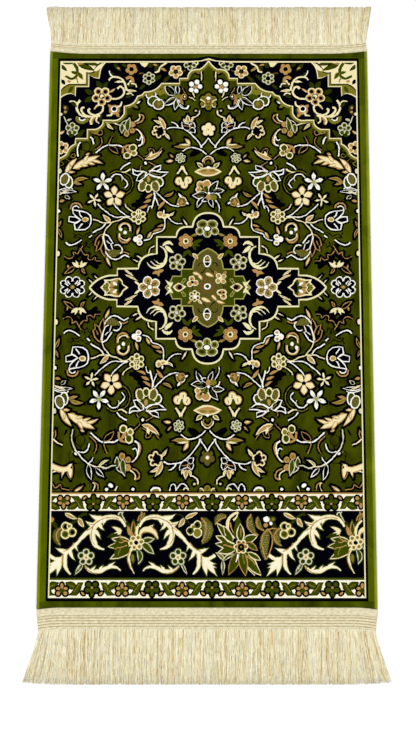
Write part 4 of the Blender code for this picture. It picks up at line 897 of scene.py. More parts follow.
# The palmette between two pairs of scrolls.
PALMETTE = (
    ("leaf", "leaf", "grey", (5, 0, -38, -412, -29.5, -429)),
    ("leaf", "tan", "cream", (6.6, 0.8, -33, -348, -13.6, -339.5), (7.2, 1, -34.5, -347, -42.5, -360.5)),
    ("line", "shade", (2.2, 1.4, -23, -357.5, -29, -352, -35, -346, -41, -342, -47, -341)),
    ("oval", "cream", (6.2, 6.6, 0, -14.4, -357), (4.6, 4.8, 0, -20.2, -360), (6.6, 6.8, 0, -24.6, -365.8),
     (7, 7.6, 0, -14.6, -368.6)),
    ("oval", "leaf", (4.7, 5, 0, -14.4, -357), (5, 5.2, 0, -24.8, -365.8)),
    ("oval", "olive", (5.4, 6, 0, -14.6, -368.8)),
    ("oval", "navy", (2.4, 3, 0, -14.8, -356.6), (2.6, 3, 0, -25.4, -365.6)),
    ("oval", "olive", (2.6, 2.8, 0, -20.2, -360)),
    ("dotted", (17.5, 10, -9.5, -345.5, -8, -385.5)),
    ("line", "tan", (2, 1.6, -9, -347, -3.5, -353.5, -1.5, -363, -3.5, -373, -8, -382)),
    ("dotted", (10, 4.6, 12, -355.5, 29.5, -343.5)),
    ("line", "tan", (2, 1.6, 12, -356.5, 17, -350.5, 22, -347.5, 28, -345.5)),
    ("dotted", (11.5, -7, 65, -341, 76, -372)),
    ("line", "tan", (2.2, 1.2, 65, -341.5, 59.5, -350, 60, -360, 67, -368.5, 76, -371.5)),
    ("dotted", (9, -4.5, 75, -344.5, 85, -366)),
    ("line", "tan", (1.4, 1.2, 75, -345, 72.5, -353, 76.5, -361.5, 85, -366)),
    ("dotted", (14.5, -4, 90, -362, 86, -409)),
    ("line", "tan", (1.8, 1.4, 90, -363, 82.5, -371, 80.5, -382, 83, -396, 86, -407),
     (1.8, 1.4, 90, -363, 95.5, -372, 96, -384, 92, -397, 87, -407)),
    ("dotted", (11, -4.5, 103, -366, 110, -388)),
    ("line", "tan", (1.8, 1.4, 90, -363.5, 99, -362, 107, -364.5),
     (1.6, 1.2, 103, -366, 98.5, -373, 101, -381, 110, -388)),
    ("oval", "white", (4.4, 4.2, 0, 87.4, -348.8)),
    ("oval", "shade", (4.8, 4.6, 0, 97.4, -348.6)),
    ("oval", "olive", (2.8, 2.6, 0, 97.4, -348.6)),
    ("oval", "white", (2.4, 2.6, 0, 94.2, -354.8)),
    ("oval", "tan", (3.4, 3.2, 0, 86.5, -357.4)),
    # leaf beside the palmette
    ("leaf", "leaf", None, (11, -3, 41, -377.5, 44, -343)),
    ("line", "cream", (3, 5, 46, -338.6, 37.5, -342.5, 31.5, -349, 30, -356),
     (5, 1.8, 30, -355, 30.5, -364, 34.5, -370.5, 40.5, -376.5),
     (1.2, 3, 46, -339, 43, -346, 38.5, -350.5)),
    ("line", "tan", (1.8, 1.4, 34, -353, 35.5, -362, 39, -369)),
    # blades round the heart
    ("leaf", "leaf", "cream", (12, 0, 38, -383, 14, -354), (9.6, 0, 38, -382, 23.5, -358),
     (11.5, 0, 39, -385, 12, -372.5), (10.5, 0, 40, -388, 11.5, -384.5), (12.5, 0, 42, -391, 16, -397)),
    ("area", "leaf", (38, -380, 28, -372, 23, -376, 22, -382, 23, -390, 30, -393, 40, -391)),
    ("line", "cream", (2.2, 2, 24, -374, 31, -380.5, 40, -384.5)),
    ("line", "tan", (1.8, 1.6, 24, -386, 33, -388, 40, -391)),
    ("leaf", "olive", "grey", (6.2, -1.8, 25, -409, 12, -397)),
    ("leaf", "leaf", "grey", (6.2, 1.8, 24, -409, 40, -399), (5.6, 0.6, 23, -407, 22.5, -430)),
    ("leaf", "leaf", "cream", (12, 0, 49.5, -382, 48.8, -354.5), (12, 0, 54, -380, 74.5, -373)),
    ("leaf", "leaf", "tan", (9.4, 0, 58, -382, 74.8, -394.4), (14.5, 0, 48, -395, 31.5, -430)),
    ("leaf", "leaf", "cream", (13, 0, 57, -398, 70, -430.8), (15.5, -2.4, 55, -394.5, 79.5, -430.5),
     (9, 0, 60, -397, 79, -408.5)),
    ("leaf", "leaf", "tan", (14, 0, 50, -394, 56.5, -431.5)),
    ("line", "tan", (2, 1.4, 58, -402, 67, -409, 71, -415), (1.6, 1.2, 50, -374, 49.5, -362)),
    ("line", "olive", (2.4, 1.4, 52, -400, 55, -414)),
    ("line", "white", (2.8, 1.2, 46, -400, 42.5, -411)),
    ("rose", "cream", "tan", "leaf", "leaf", (6, 0, 11.4, 50, -388.6)),
    ("oval", "tan", (6.6, 6.8, 0, 50, -389)),
    ("oval", "navy", (4.8, 5.4, 0, 50, -389.5)),
    ("oval", "olive", (1.6, 1.8, 0, 50, -389)),
)

LEAF_PROFILE = ((0.0, 0.0), (0.12, 0.62), (0.3, 0.96), (0.5, 0.98), (0.7, 0.76), (0.87, 0.4), (1.0, 0.0))
BARB_PROFILE = ((0.0, 0.8), (0.2, 1.0), (0.45, 0.82), (0.7, 0.48), (0.88, 0.2), (1.0, 0.0))
PETAL_PROFILE = ((0.0, 0.24), (0.25, 0.5), (0.48, 0.86), (0.66, 1.0), (0.84, 0.66), (1.0, 0.0))
TIP_SHARE = 0.8              # past this share of its length a shape doesn't widen with its outline
TIP_REACH = 1.7              # how much longer a shape gets with its outline, against its width
LEAF_EDGE = 1.4              # width of the line round a leaf
DARK_EDGE = 1.05             # the same, where the leaf is nearly black
RING_EDGE = 1.5
STAR_EDGE = 1.1
STAR_VEIN = 1.8
VEIN_SHARE = 0.7             # how far out a petal's vein runs
DOT_PITCH = 2.5              # spacing of the dots in a dotted leaf
DOT_SIZE = 0.75
DOT_MARGIN = 1.4
# How far out a rose's petals stand and how big they are, as shares of its radius, by their number
ROSE_PETALS = {3: (0.52, 0.5), 4: (0.6, 0.42), 5: (0.6, 0.42), 6: (0.6, 0.36)}
ROSE_HEART = 0.3
PETAL_HEART = 0.48           # size of the spot in a petal, as a share of the petal
EYE_SHARE = 0.16
PLAIN_INKS = ("leaf", "olive", "umber", "navy", "dark", "field")
FIELD_HALO = 3.0             # width of the dark outline of motifs on the green field
SHRINK = 0.3                 # how far a motif draws back from its outline
FIELD_SLIM = 0.74            # how much of its width a line on the green field shows over its outline
BAND_HALO = 1.1              # width of the green outline of motifs on the main border
SCROLL_SLIM = 0.88           # how much of its width a limb of the scroll shows
STREAK_SHARE = 0.46          # width of the paler streak along a limb
RAGGED = 0.34                # how far the pile's tufts push an outline in or out


def spline(points, steps=4):
    """Run a smooth line through the points."""
    ends = [points[0]] + list(points) + [points[-1]]
    line = []
    for before, start, end, after in zip(ends, ends[1:], ends[2:], ends[3:]):
        for step in range(steps):
            t = step / steps
            line.append(tuple(
                0.5 * (2 * b + (c - a) * t + (2 * a - 5 * b + 4 * c - d) * t ** 2
                       + (3 * b - a - 3 * c + d) * t ** 3)
                for a, b, c, d in zip(before, start, end, after)))
    line.append(points[-1])
    return line


def stepped(rows, arc_parts=6):
    """Points of a stepped outline: straight runs and arcs between its corners."""
    line = [rows[0][:2]]
    for (u0, v0, _), (u1, v1, bulge) in zip(rows, rows[1:]):
        parts = arc_parts if bulge else 1
        for part in range(1, parts + 1):
            share = part / parts
            reach = 4 * bulge * share * (1 - share)
            line.append((u0 + (u1 - u0) * share - (v1 - v0) * reach,
                         v0 + (v1 - v0) * share + (u1 - u0) * reach))
    return line


def foot_spread(v):
    """How much further from the middle a point of the field lies in the lower half than in the upper."""
    for (low, first), (high, last) in zip(FOOT_SPREAD, FOOT_SPREAD[1:]):
        if v <= high:
            return first + (last - first) * (v - low) / (high - low)
    return last


def ragged(u, v, reach):
    """Push a point of an outline about, always the same way at the same place."""
    return (u + reach * math.sin(71.3 * u + 37.9 * v), v + reach * math.sin(53.7 * u - 61.1 * v))


# Ways to lay a shape of the chart down once more
def same(u, v):
    return u, v


def mirrored(u, v):
    return -u, v


def lowered(u, v):
    return u, -v - foot_spread(abs(v))


def mirrored_lowered(u, v):
    return -u, -v - foot_spread(abs(v))


def flipped(u, v):
    return u, -v


def flipped_mirrored(u, v):
    return -u, -v


def moved(u0, v0=0.0, across=1, along=1):
    """A way that moves shapes along, and mirrors them where across or along is -1."""
    return lambda u, v: (u0 + across * u, v0 + along * v)


BOTH_SIDES = (same, mirrored)
FIELD_QUARTERS = (same, mirrored, lowered, mirrored_lowered)
QUARTERS = (same, mirrored, flipped, flipped_mirrored)


def pairs(flat):
    return list(zip(flat[::2], flat[1::2]))


def heading(u0, v0, u1, v1):
    """Length from one point to another, with the directions along it and to its left."""
    length = math.hypot(u1 - u0, v1 - v0)
    along = ((u1 - u0) / length, (v1 - v0) / length)
    return length, along, (-along[1], along[0])


def round_about(u, v, reach, count, turn):
    """Points spaced evenly round a middle."""
    angles = [math.radians(turn) + 2 * math.pi * index / count for index in range(count)]
    return [(u + reach * math.cos(angle), v + reach * math.sin(angle)) for angle in angles]


class Chart:
    """Collects outlines with their inks, in the order in which they lie over one another."""

    def __init__(self):
        self.shapes = []
        self.ways = (same,)
        self.halo = None
        self.extra = 0.0
        self.slim = 1.0
        self.rough = 0.0

    def outline(self, ink, corners):
        ink = self.halo or ink
        for way in self.ways:
            self.shapes.append(([ragged(*way(u, v), self.rough) for u, v in corners], ink))

    def box(self, ink, left, right, foot, head):
        self.outline(ink, [(left, foot), (right, foot), (right, head), (left, head)])

    def area(self, ink, *flat):
        self.outline(ink, pairs(flat))

    def oval(self, ink, half_width, half_height, turn, u, v):
        size = max(half_width, half_height)
        sides = 10 if size < 3.5 else 14 if size < 7.5 else 22
        c = math.cos(math.radians(turn))
        s = math.sin(math.radians(turn))
        ring = []
        for side in range(sides):
            angle = 2 * math.pi * (side + 0.5) / sides
            x = (half_width + self.extra) * math.cos(angle)
            y = (half_height + self.extra) * math.sin(angle)
            ring.append((u + x * c - y * s, v + x * s + y * c))
        self.outline(ink, ring)

    def spot(self, ink, size, u, v):
        self.oval(ink, size, size, 0, u, v)

    def ribbon(self, ink, path, widths):
        left = []
        right = []
        last = len(path) - 1
        for index, (u, v) in enumerate(path):
            before = path[max(0, index - 1)]
            after = path[min(last, index + 1)]
            du = after[0] - before[0]
            dv = after[1] - before[1]
            size = math.hypot(du, dv) or 1.0
            half = (widths[index] / 2 + max(0.0, self.extra)) / size
            left.append((u - dv * half, v + du * half))
            right.append((u + dv * half, v - du * half))
        self.outline(ink, left + right[::-1])

    def line(self, ink, start, end, *flat):
        path = spline(pairs(flat))
        last = len(path) - 1
        widths = [self.slim * (start + (end - start) * index / last) for index in range(last + 1)]
        self.ribbon(ink, path, widths)

    def tongue(self, ink, profile, width, bow, base, tip, grow=0.0):
        """A tapering shape from its base to its tip, as wide as its profile says, with a sideways bow."""
        length, along, left = heading(*base, *tip)
        rise = grow + self.extra
        path = []
        widths = []
        for share, fill in profile:
            shift = 4 * bow * share * (1 - share)
            reach = -rise * 0.5 + (length + TIP_REACH * rise) * share
            path.append((base[0] + along[0] * reach + left[0] * shift,
                         base[1] + along[1] * reach + left[1] * shift))
            tapered = (1 - fill) * (share > TIP_SHARE)
            drawn_in = 2 * min(0.0, self.extra) - 2 * max(0.0, self.extra) * tapered
            widths.append(max(0.02, (width + 2 * grow) * fill + drawn_in))
        self.ribbon(ink, path, widths)

    def barb(self, ink, width, bow, u0, v0, u1, v1):
        self.tongue(ink, BARB_PROFILE, width * self.slim, bow, (u0, v0), (u1, v1))

    def leaf(self, fill, edge, width, bow, u0, v0, u1, v1):
        self.tongue(edge or fill, LEAF_PROFILE, width, bow, (u0, v0), (u1, v1))
        if edge and not self.halo:
            line = DARK_EDGE if fill == "navy" else LEAF_EDGE
            self.tongue(fill, LEAF_PROFILE, width, bow, (u0, v0), (u1, v1), -line)

    def patch(self, fill, edge, width, *flat):
        """A flat piece with a line round it."""
        corners = pairs(flat)
        self.outline(fill, corners)
        self.ribbon(edge, corners + corners[:2], [width] * (len(corners) + 2))

    def ring(self, edge, fill, across, along, half_width, half_height, u, v):
        """Four edged ovals, as far across and along from the middle."""
        spots = [(u + across * i, v + along * j) for i in (1, -1) for j in (1, -1)]
        for ink, line in ((edge, 0.0), (fill, RING_EDGE)):
            for spot in spots:
                self.oval(ink, half_width - line, half_height - line, 0, *spot)

    def dotted(self, width, bow, u0, v0, u1, v1):
        """A leaf in umber, filled with rows of pale dots."""
        self.tongue("umber", LEAF_PROFILE, width, bow, (u0, v0), (u1, v1))
        if self.halo:
            return
        length, along, left = heading(u0, v0, u1, v1)
        rows = int(length / DOT_PITCH)
        for row in range(1, rows):
            share = row / rows
            half = width / 2 * math.sin(math.pi * share) - DOT_MARGIN
            shift = 4 * bow * share * (1 - share)
            count = int(2 * max(0.0, half) / DOT_PITCH)
            for dot in range(-(count // 2), count // 2 + 1):
                side = shift + (dot + 0.25 * (-1) ** row) * DOT_PITCH
                self.spot("sageline", DOT_SIZE, u0 + along[0] * length * share + left[0] * side,
                          v0 + along[1] * length * share + left[1] * side)

    def rose(self, edge, fill, heart, eye, petals, turn, radius, u, v):
        reach, size = (radius * share for share in ROSE_PETALS[petals])
        line = min(1.6, radius * 0.14)
        spots = round_about(u, v, reach, petals, turn)
        for spot in spots:
            self.spot(edge, size, *spot)
        self.spot(heart, radius * ROSE_HEART, u, v)
        if self.halo:
            return
        for ink, part in ((fill, size - line), (heart, size * PETAL_HEART)):
            for spot in spots:
                self.spot(ink, part, *spot)
        self.spot(edge, radius * 0.15 + 0.9, u, v)
        self.spot(eye, radius * EYE_SHARE, u, v)

    def star(self, fill, edge, eye, petals, turn, width, radius, u, v):
        tips = round_about(u, v, radius, petals, turn)
        for tip in tips:
            self.tongue(edge or fill, PETAL_PROFILE, width, 0, (u, v), tip)
        if self.halo:
            return
        if edge and edge != fill:
            for tip in tips:
                self.tongue(fill, PETAL_PROFILE, width, 0, (u, v), tip, -STAR_EDGE)
        if edge == fill:
            for tip in tips:
                near = (u + (tip[0] - u) * VEIN_SHARE, v + (tip[1] - v) * VEIN_SHARE)
                self.tongue(eye, LEAF_PROFILE, STAR_VEIN, 0, (u, v), near)
        self.spot(eye, radius * 0.2, u, v)

    def lay(self, rows):
        """Draw the shapes of each row."""
        for kind, *columns in rows:
            inks = [column for column in columns if not isinstance(column, tuple)]
            for numbers in columns[len(inks):]:
                getattr(self, kind)(*inks, *numbers)

    def draw(self, rows, ways=(same,), halo=None, extra=0.0, slim=1.0):
        """Lay rows of shapes, over a halo of one ink that shows round them."""
        self.ways = ways
        self.slim = slim
        self.rough = RAGGED
        if halo:
            self.halo = halo
            self.extra = extra
            self.lay([row for row in rows
                      if row[1] != "dark" and not (row[0] == "oval" and row[1] in PLAIN_INKS)])
            self.halo = None
            self.extra = -SHRINK
        self.lay(rows)
        self.slim = 1.0
        self.extra = 0.0
        self.rough = 0.0


def chart_field(chart):
    chart.box("field", FIELD_SIDE, -FIELD_SIDE, CHART_FOOT, FIELD_HEAD)
    for rows, ways in ((LOWER_FORK_FLOWER, (lowered,)), (FIELD, FIELD_QUARTERS),
                       (LOWER_CORNERS, (lowered, mirrored_lowered)), (MIDDLE, (same, lowered)),
                       (FORK_FLOWER, (same,)), (UNDER_ARCH, BOTH_SIDES)):
        chart.draw(rows, ways, "dark", FIELD_HALO, FIELD_SLIM)


def chart_medallion(chart):
    outline = stepped(MEDALLION_STEPS)
    chart.ways = QUARTERS
    chart.outline("navy", outline + [(0.0, 0.0)])
    chart.ribbon("paleline", outline, [MEDALLION_LINE] * len(outline))
    chart.draw(MEDALLION, QUARTERS)
    chart.draw(CROWN, (same, flipped))
    chart.draw(SIDE_FLOWERS, BOTH_SIDES)
    cross = stepped(CROSS_STEPS)
    chart.ways = QUARTERS
    chart.outline("leaf", cross + [(0.0, 0.0)])
    chart.outline("umber", stepped(CROSS_STEPS[:3]) + list(CROSS_NECK))
    chart.outline("umber", CROSS_HEART)
    chart.ribbon("sageline", cross, [CROSS_LINE] * len(cross))
    chart.draw(CROSS, QUARTERS)
    chart.draw(SIDE_EYES, BOTH_SIDES)
    chart.draw(LENS, (same, flipped))
    chart.draw(HEART)


def chart_arch(chart):
    arch = stepped(ARCH_STEPS)
    outer = stepped(CORNER_OUTER)
    inner = stepped(CORNER_INNER)
    chart.ways = BOTH_SIDES
    chart.ribbon("olive", arch, [ARCH_SHADE] * len(arch))
    chart.outline("navy", arch + [FIELD_CORNER])
    chart.ribbon("cream", arch, [ARCH_LINE] * len(arch))
    chart.draw(SPANDREL, BOTH_SIDES)
    for ink, edge, (du, dv) in (("cream", outer, (0.0, 0.0)), ("olive", outer, OLIVE_SHIFT),
                                ("dark", inner, DARK_SHIFT), ("cream", inner, (0.0, 0.0))):
        chart.outline(ink, [(u + du, v + dv) for u, v in edge] + [FIELD_CORNER])
    chart.draw(CORNER, BOTH_SIDES)


def chart_frame(chart):
    """Lines round the field, drawn over whatever reaches them."""
    chart.ways = BOTH_SIDES
    chart.box("green", CHART_SIDE, FRAME_SIDE, CHART_FOOT, CHART_HEAD)
    chart.box("navy", FRAME_SIDE, CREAM_SIDE, CHART_FOOT, CHART_HEAD)
    chart.box("paleline", CREAM_SIDE, CREAM_INNER, DARK_FOOT, CREAM_TOP)
    chart.outline("ends", [(END_SIDE, GREEN_HEAD), *GREEN_POINT, (0, CHART_HEAD), (END_SIDE, CHART_HEAD)])
    chart.outline("navy", [(FRAME_SIDE, CREAM_HEAD), *DARK_POINT, (FRAME_SIDE, GREEN_HEAD)])
    chart.outline("cream", [(CREAM_SIDE, CREAM_START), *CREAM_POINT, (CREAM_SIDE, CREAM_HEAD)])
    chart.box("ends", END_SIDE, 0, CHART_FOOT, GREEN_FOOT)
    chart.box("navy", FRAME_SIDE, 0, GREEN_FOOT, DARK_FOOT)


def chart_guard(chart, top, foot, side):
    """One narrow border: five-petalled flowers, tan and green by turns, on cream."""
    middle = (top + foot) / 2
    chart.ways = (same,)
    chart.box("milk", BORDER_SIDE, -BORDER_SIDE, foot, top)
    for count in range(GUARD_COUNT):
        tan_u = GUARD_START + count * GUARD_PITCH
        green_u = tan_u + GUARD_PITCH / 2
        at_tan = moved(tan_u, middle, along=side)
        at_green = moved(green_u, middle, along=side)
        chart.draw(GUARD, (at_tan, moved(tan_u, middle, -1, side)))
        for where, petals, fill in ((at_tan, TAN_FLOWER, "tan"), (at_green, GREEN_FLOWER, "leaf")):
            chart.ways = (where,)
            for u, v, half_width, half_height in petals:
                chart.oval("navy", half_width + GUARD_RIM, half_height + GUARD_RIM, 0, u, v)
            chart.spot("navy", 4.5, 0, 1)
            for u, v, half_width, half_height in petals:
                chart.oval(fill, half_width, half_height, 0, u, v)
        chart.ways = (at_tan,)
        chart.lay(TAN_HEART)
        chart.ways = (at_green,)
        chart.lay(GREEN_HEART)


def chart_scroll(chart, way):
    """A scrolling branch: its body, a paler streak along each limb, then its tan trim and its flower."""
    chart.draw(SCROLL, (way,), "leaf", BAND_HALO, SCROLL_SLIM)
    chart.halo = "milk"
    chart.slim = SCROLL_SLIM * STREAK_SHARE
    chart.lay(SCROLL)
    chart.halo = None
    chart.draw(SCROLL_TRIM, (way,))
    chart.draw(SCROLL_FLOWER, (way,), "leaf", BAND_HALO)


def chart_borders(chart):
    chart.ways = (same,)
    for ink, low, high in FIELD_FOOT_LINES:
        chart.box(ink, BORDER_SIDE, -BORDER_SIDE, low, high)
    chart_guard(chart, *UPPER_GUARD, 1)
    chart.ways = (same,)
    chart.box("navy", BORDER_SIDE, -BORDER_SIDE, MAIN_BAND[1], MAIN_BAND[0])
    chart.box("leaf", CORD_SIDE, -CORD_SIDE, GREEN_CORD[1], GREEN_CORD[0])
    for shift in (0.0, BAND_REPEAT):
        chart.draw(BAND, (moved(shift),), "shade", BAND_HALO)
        chart_scroll(chart, moved(shift))
    chart_scroll(chart, moved(2 * BAND_MIRROR, across=-1))
    chart.draw(PALMETTE)
    chart_guard(chart, *LOWER_GUARD, -1)


def make_chart():
    chart = Chart()
    chart_field(chart)
    chart_medallion(chart)
    chart_arch(chart)
    chart_borders(chart)
    chart_frame(chart)
    return chart.shapes


# ---------------------------------------------------------------- the rug's outline, as in the CAD
GRID = 0.004                 # spacing of the pile's plain points
POINT_MARGIN = 6             # they keep this far from the pile's ends, in chart millimetres
STRIPS = (-0.245, -0.1225, 0.0, 0.1225, 0.245)
PILE_ROWS = 213
ROLL_STEPS = 8
SWELL = 0.00016              # how far the pile's top rises and sinks
SWELL_END = 0.238            # the swell ends this far from the centre line
SWELL_FADE = 0.012
MAP_MARGIN = 0.004           # bare rim round the pile's map
MERGE_REACH = 1e-4           # points of the pattern that are closer than this become one


def corner_droop(x, end):
    """How far the end line lies outside its middle at x."""
    start = HALF_WIDTH - end["bend"]
    share = max(0.0, (abs(x) - start) / end["bend"])
    return end["droop"] * share ** 2


def place(x, y):
    """Shift a point of the squared-up rug into the finished frame, with its lean."""
    return x + LEAN * (y + HALF_LENGTH) / BODY_LENGTH, y + BODY_SHIFT


def end_y(x, inward, end):
    """Y of a point that lies inward of the braid's outer edge."""
    return end["side"] * (HALF_LENGTH + corner_droop(x, end) - inward)


def edge_share(x, half=HALF_WIDTH):
    """Height of the rolled side edge: 1 over the cloth, 0 at the side face."""
    reach = max(0.0, (abs(x) - (half - EDGE_ROUND)) / EDGE_ROUND)
    return math.sqrt(max(0.0, 1.0 - reach ** 2))


def spread(low, high, count):
    """Return count + 1 evenly spaced values."""
    return [low + (high - low) * step / count for step in range(count + 1)]


def strip_columns(left, right):
    """Evenly spaced places across a strip, about GRID apart."""
    return spread(left, right, max(1, round((right - left) / GRID)))


def linear(value):
    """One sRGB channel, 0 to 255, as linear light."""
    share = value / 255
    return share / 12.92 if share <= 0.04045 else ((share + 0.055) / 1.055) ** 2.4


def light_of(red, green, blue, last=1.0):
    """An sRGB colour as linear light, with its fourth number."""
    return (linear(red), linear(green), linear(blue), last)


def pile_ends(x):
    """Y of the pile's two ends at x, foot first."""
    return tuple(end_y(x, end["braid"] + GAP + SEAM_STEP, end) for end in (FOOT, HEAD))


def pile_height(x, y):
    """Height of the pile's tips: a slow swell that dies out towards the edges."""
    calm = min(1.0, max(0.0, (SWELL_END - abs(x)) / SWELL_FADE))
    slow = noise.noise(Vector((x * 38, y * 14, 0.3)))
    quick = noise.noise(Vector((x * 120, y * 60, 5.1)))
    wave = slow + 0.5 * quick
    return PILE_THICKNESS - SWELL * (1 - wave * calm)


# ---------------------------------------------------------------- meshes
def add_mesh(name, points, faces, material, smooth=True):
    mesh = bpy.data.meshes.new(name)
    mesh.from_pydata(points, [], faces)
    mesh.materials.append(material)
    mesh.polygons.foreach_set("use_smooth", [smooth] * len(mesh.polygons))
    mesh.update()
    piece = bpy.data.objects.new(name, mesh)
    bpy.context.scene.collection.objects.link(piece)
    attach(piece, "root")
    return piece


def set_colours(piece, colours):
    """Give each face one colour, as four numbers."""
    mesh = piece.data
    layer = mesh.color_attributes.new("Ink", "FLOAT_COLOR", "CORNER")
    counts = np.empty(len(mesh.polygons), dtype=np.int32)
    mesh.polygons.foreach_get("loop_total", counts)
    layer.data.foreach_set("color", np.repeat(np.asarray(colours, dtype=np.float32), counts, axis=0).ravel())


def set_map(piece, places):
    """Give each point its place in the map, and stretch the map over the whole square."""
    mesh = piece.data
    places = np.asarray(places, dtype=np.float32)
    low = places.min(axis=0)
    high = places.max(axis=0)
    places = MAP_MARGIN + (1 - 2 * MAP_MARGIN) * (places - low) / (high - low)
    corners = np.empty(len(mesh.loops), dtype=np.int32)
    mesh.loops.foreach_get("vertex_index", corners)
    layer = mesh.uv_layers.new(name="OFBake")
    layer.data.foreach_set("uv", places[corners].ravel())


def grid_quads(start, height, width):
    """Quads between the rows of a grid of points, row after row."""
    corners = [start + line * width + column for line in range(height - 1) for column in range(width - 1)]
    return [[corner, corner + 1, corner + width + 1, corner + width] for corner in corners]


def tube_quads(start, rings, sides, turned=False):
    """Quads between rings of points, ring after ring."""
    quads = []
    for ring in range(rings - 1):
        for side in range(sides):
            near = start + ring * sides + side
            far = start + ring * sides + (side + 1) % sides
            quad = [near, far, far + sides, near + sides]
            quads.append(quad[::-1] if turned else quad)
    return quads


# ---------------------------------------------------------------- the pile, triangulated along the pattern
def strip_outline(left, right):
    """Corners of one lengthwise strip of pile, anticlockwise, in chart millimetres."""
    def at(x, y):
        return x * MM, (y - MEDALLION_Y) * MM

    columns = strip_columns(left, right)
    low_right, high_right = pile_ends(right)
    low_left, high_left = pile_ends(left)
    outline = [at(x, pile_ends(x)[0]) for x in columns]
    outline += [at(right, y) for y in spread(low_right, high_right, PILE_ROWS)[1:-1]]
    outline += [at(x, pile_ends(x)[1]) for x in columns[::-1]]
    outline += [at(left, y) for y in spread(high_left, low_left, PILE_ROWS)[1:-1]]
    return outline


def strip_network(shapes, left, right):
    """Points and edges of the pattern's outlines in one strip, with plain points between them."""
    outline = strip_outline(left, right)
    low = min(v for _, v in outline)
    high = max(v for _, v in outline)
    points = [Vector(corner) for corner in outline]
    edges = [(index, (index + 1) % len(outline)) for index in range(len(outline))]
    for corners, _ in shapes:
        for (u0, v0), (u1, v1) in zip(corners, corners[1:] + corners[:1]):
            if max(u0, u1) < left * MM or min(u0, u1) > right * MM:
                continue
            if max(v0, v1) < low or min(v0, v1) > high:
                continue
            edges.append((len(points), len(points) + 1))
            points.append(Vector((u0, v0)))
            points.append(Vector((u1, v1)))
    columns = spread(left * MM, right * MM, max(1, round((right - left) / GRID)))[1:-1]
    rows = int((high - low) / (GRID * MM))
    for count, u in enumerate(columns):
        for row in range(rows):
            v = low + POINT_MARGIN + (row + 0.5 * (count % 2)) * GRID * MM
            if v < high - POINT_MARGIN:
                points.append(Vector((u, v)))
    return points, edges


def inks_at(centres, shapes):
    """Index of the topmost shape over each point; -1 where there is none."""
    order = np.argsort(centres[:, 0])
    across = centres[order, 0]
    along = centres[order, 1]
    found = np.full(len(centres), -1)
    for index, (corners, _) in enumerate(shapes):
        start = np.asarray(corners)
        finish = np.roll(start, -1, axis=0)
        low = start.min(axis=0)
        high = start.max(axis=0)
        first, last = np.searchsorted(across, (low[0], high[0]))
        near = np.nonzero((along[first:last] >= low[1]) & (along[first:last] <= high[1]))[0] + first
        if not len(near):
            continue
        x = across[near][:, None]
        y = along[near][:, None]
        du, dv = (finish - start).T
        side = du * (y - start[:, 1]) - (x - start[:, 0]) * dv
        upward = (start[:, 1] <= y) & (finish[:, 1] > y) & (side > 0)
        downward = (start[:, 1] > y) & (finish[:, 1] <= y) & (side < 0)
        inside = upward.sum(axis=1) != downward.sum(axis=1)
        found[order[near[inside]]] = index
    return found


def shapes_over(shapes, left, right):
    return [shape for shape in shapes
            if max(u for u, _ in shape[0]) > left * MM and min(u for u, _ in shape[0]) < right * MM]


def build_strip(number, shapes, material):
    """One strip of pile: its top in the pattern's inks, a rolled edge or none, and its two ends."""
    left, right = STRIPS[number], STRIPS[number + 1]
    near = shapes_over(shapes, left, right)
    network, edges = strip_network(near, left, right)
    points, _, faces, _, _, _ = delaunay_2d_cdt(network, edges, [], 0, MERGE_REACH, False)
    flat = np.array([tuple(point) for point in points])
    faces = np.array(faces)
    centres = flat[faces].mean(axis=1)
    ends = np.array([pile_ends(u / MM) for u in centres[:, 0]])
    v_low = (ends[:, 0] - MEDALLION_Y) * MM
    v_high = (ends[:, 1] - MEDALLION_Y) * MM
    kept = ((centres[:, 0] > left * MM) & (centres[:, 0] < right * MM)
            & (centres[:, 1] > v_low) & (centres[:, 1] < v_high))
    faces = faces[kept]
    found = inks_at(centres[kept], near)
    table = np.array([light_of(*INKS[ink]) for _, ink in near] + [light_of(*INKS["green"])])
    colours = list(table[found])
    used, faces = np.unique(faces, return_inverse=True)
    faces = faces.reshape(-1, 3).tolist()
    verts = []
    unrolled = []
    for u, v in flat[used]:
        x = u / MM
        y = v / MM + MEDALLION_Y
        verts.append((*place(x, y), pile_height(x, y)))
        unrolled.append((x, y))
    add_slopes(verts, unrolled, faces, colours, left, right)
    if number == 0:
        add_roll(verts, unrolled, faces, colours, -1)
    if number == len(STRIPS) - 2:
        add_roll(verts, unrolled, faces, colours, 1)
    piece = add_mesh(f"pile_{number + 1}", verts, faces, material)
    set_colours(piece, colours)
    set_map(piece, unrolled)
    return piece


def add_rows(verts, unrolled, faces, colours, rows, colour_of):
    """Add a grid of points, given as rows of (x, y, z, map x, map y), with its faces."""
    height = len(rows)
    width = len(rows[0])
    faces += grid_quads(len(verts), height, width)
    colours += [colour_of(line, column) for line in range(height - 1) for column in range(width - 1)]
    for row in rows:
        for x, y, z, across, along in row:
            verts.append((*place(x, y), z))
            unrolled.append((across, along))


# Section of the pile's ends: distance from the seam as a share of the slope, and share of the height
SLOPE = ((1.0, 1.0), (0.75, 0.94), (0.4, 0.74), (0.1, 0.4), (0.0, 0.2))
# Painted shade: below its first rows the slope down to the braid is coloured darker than the pile's top.
SLOPE_UNSHADED_ROWS = 2             # rows of the slope that are as bright as the pile's top
SLOPE_PAINTED_SHADE = 0.6


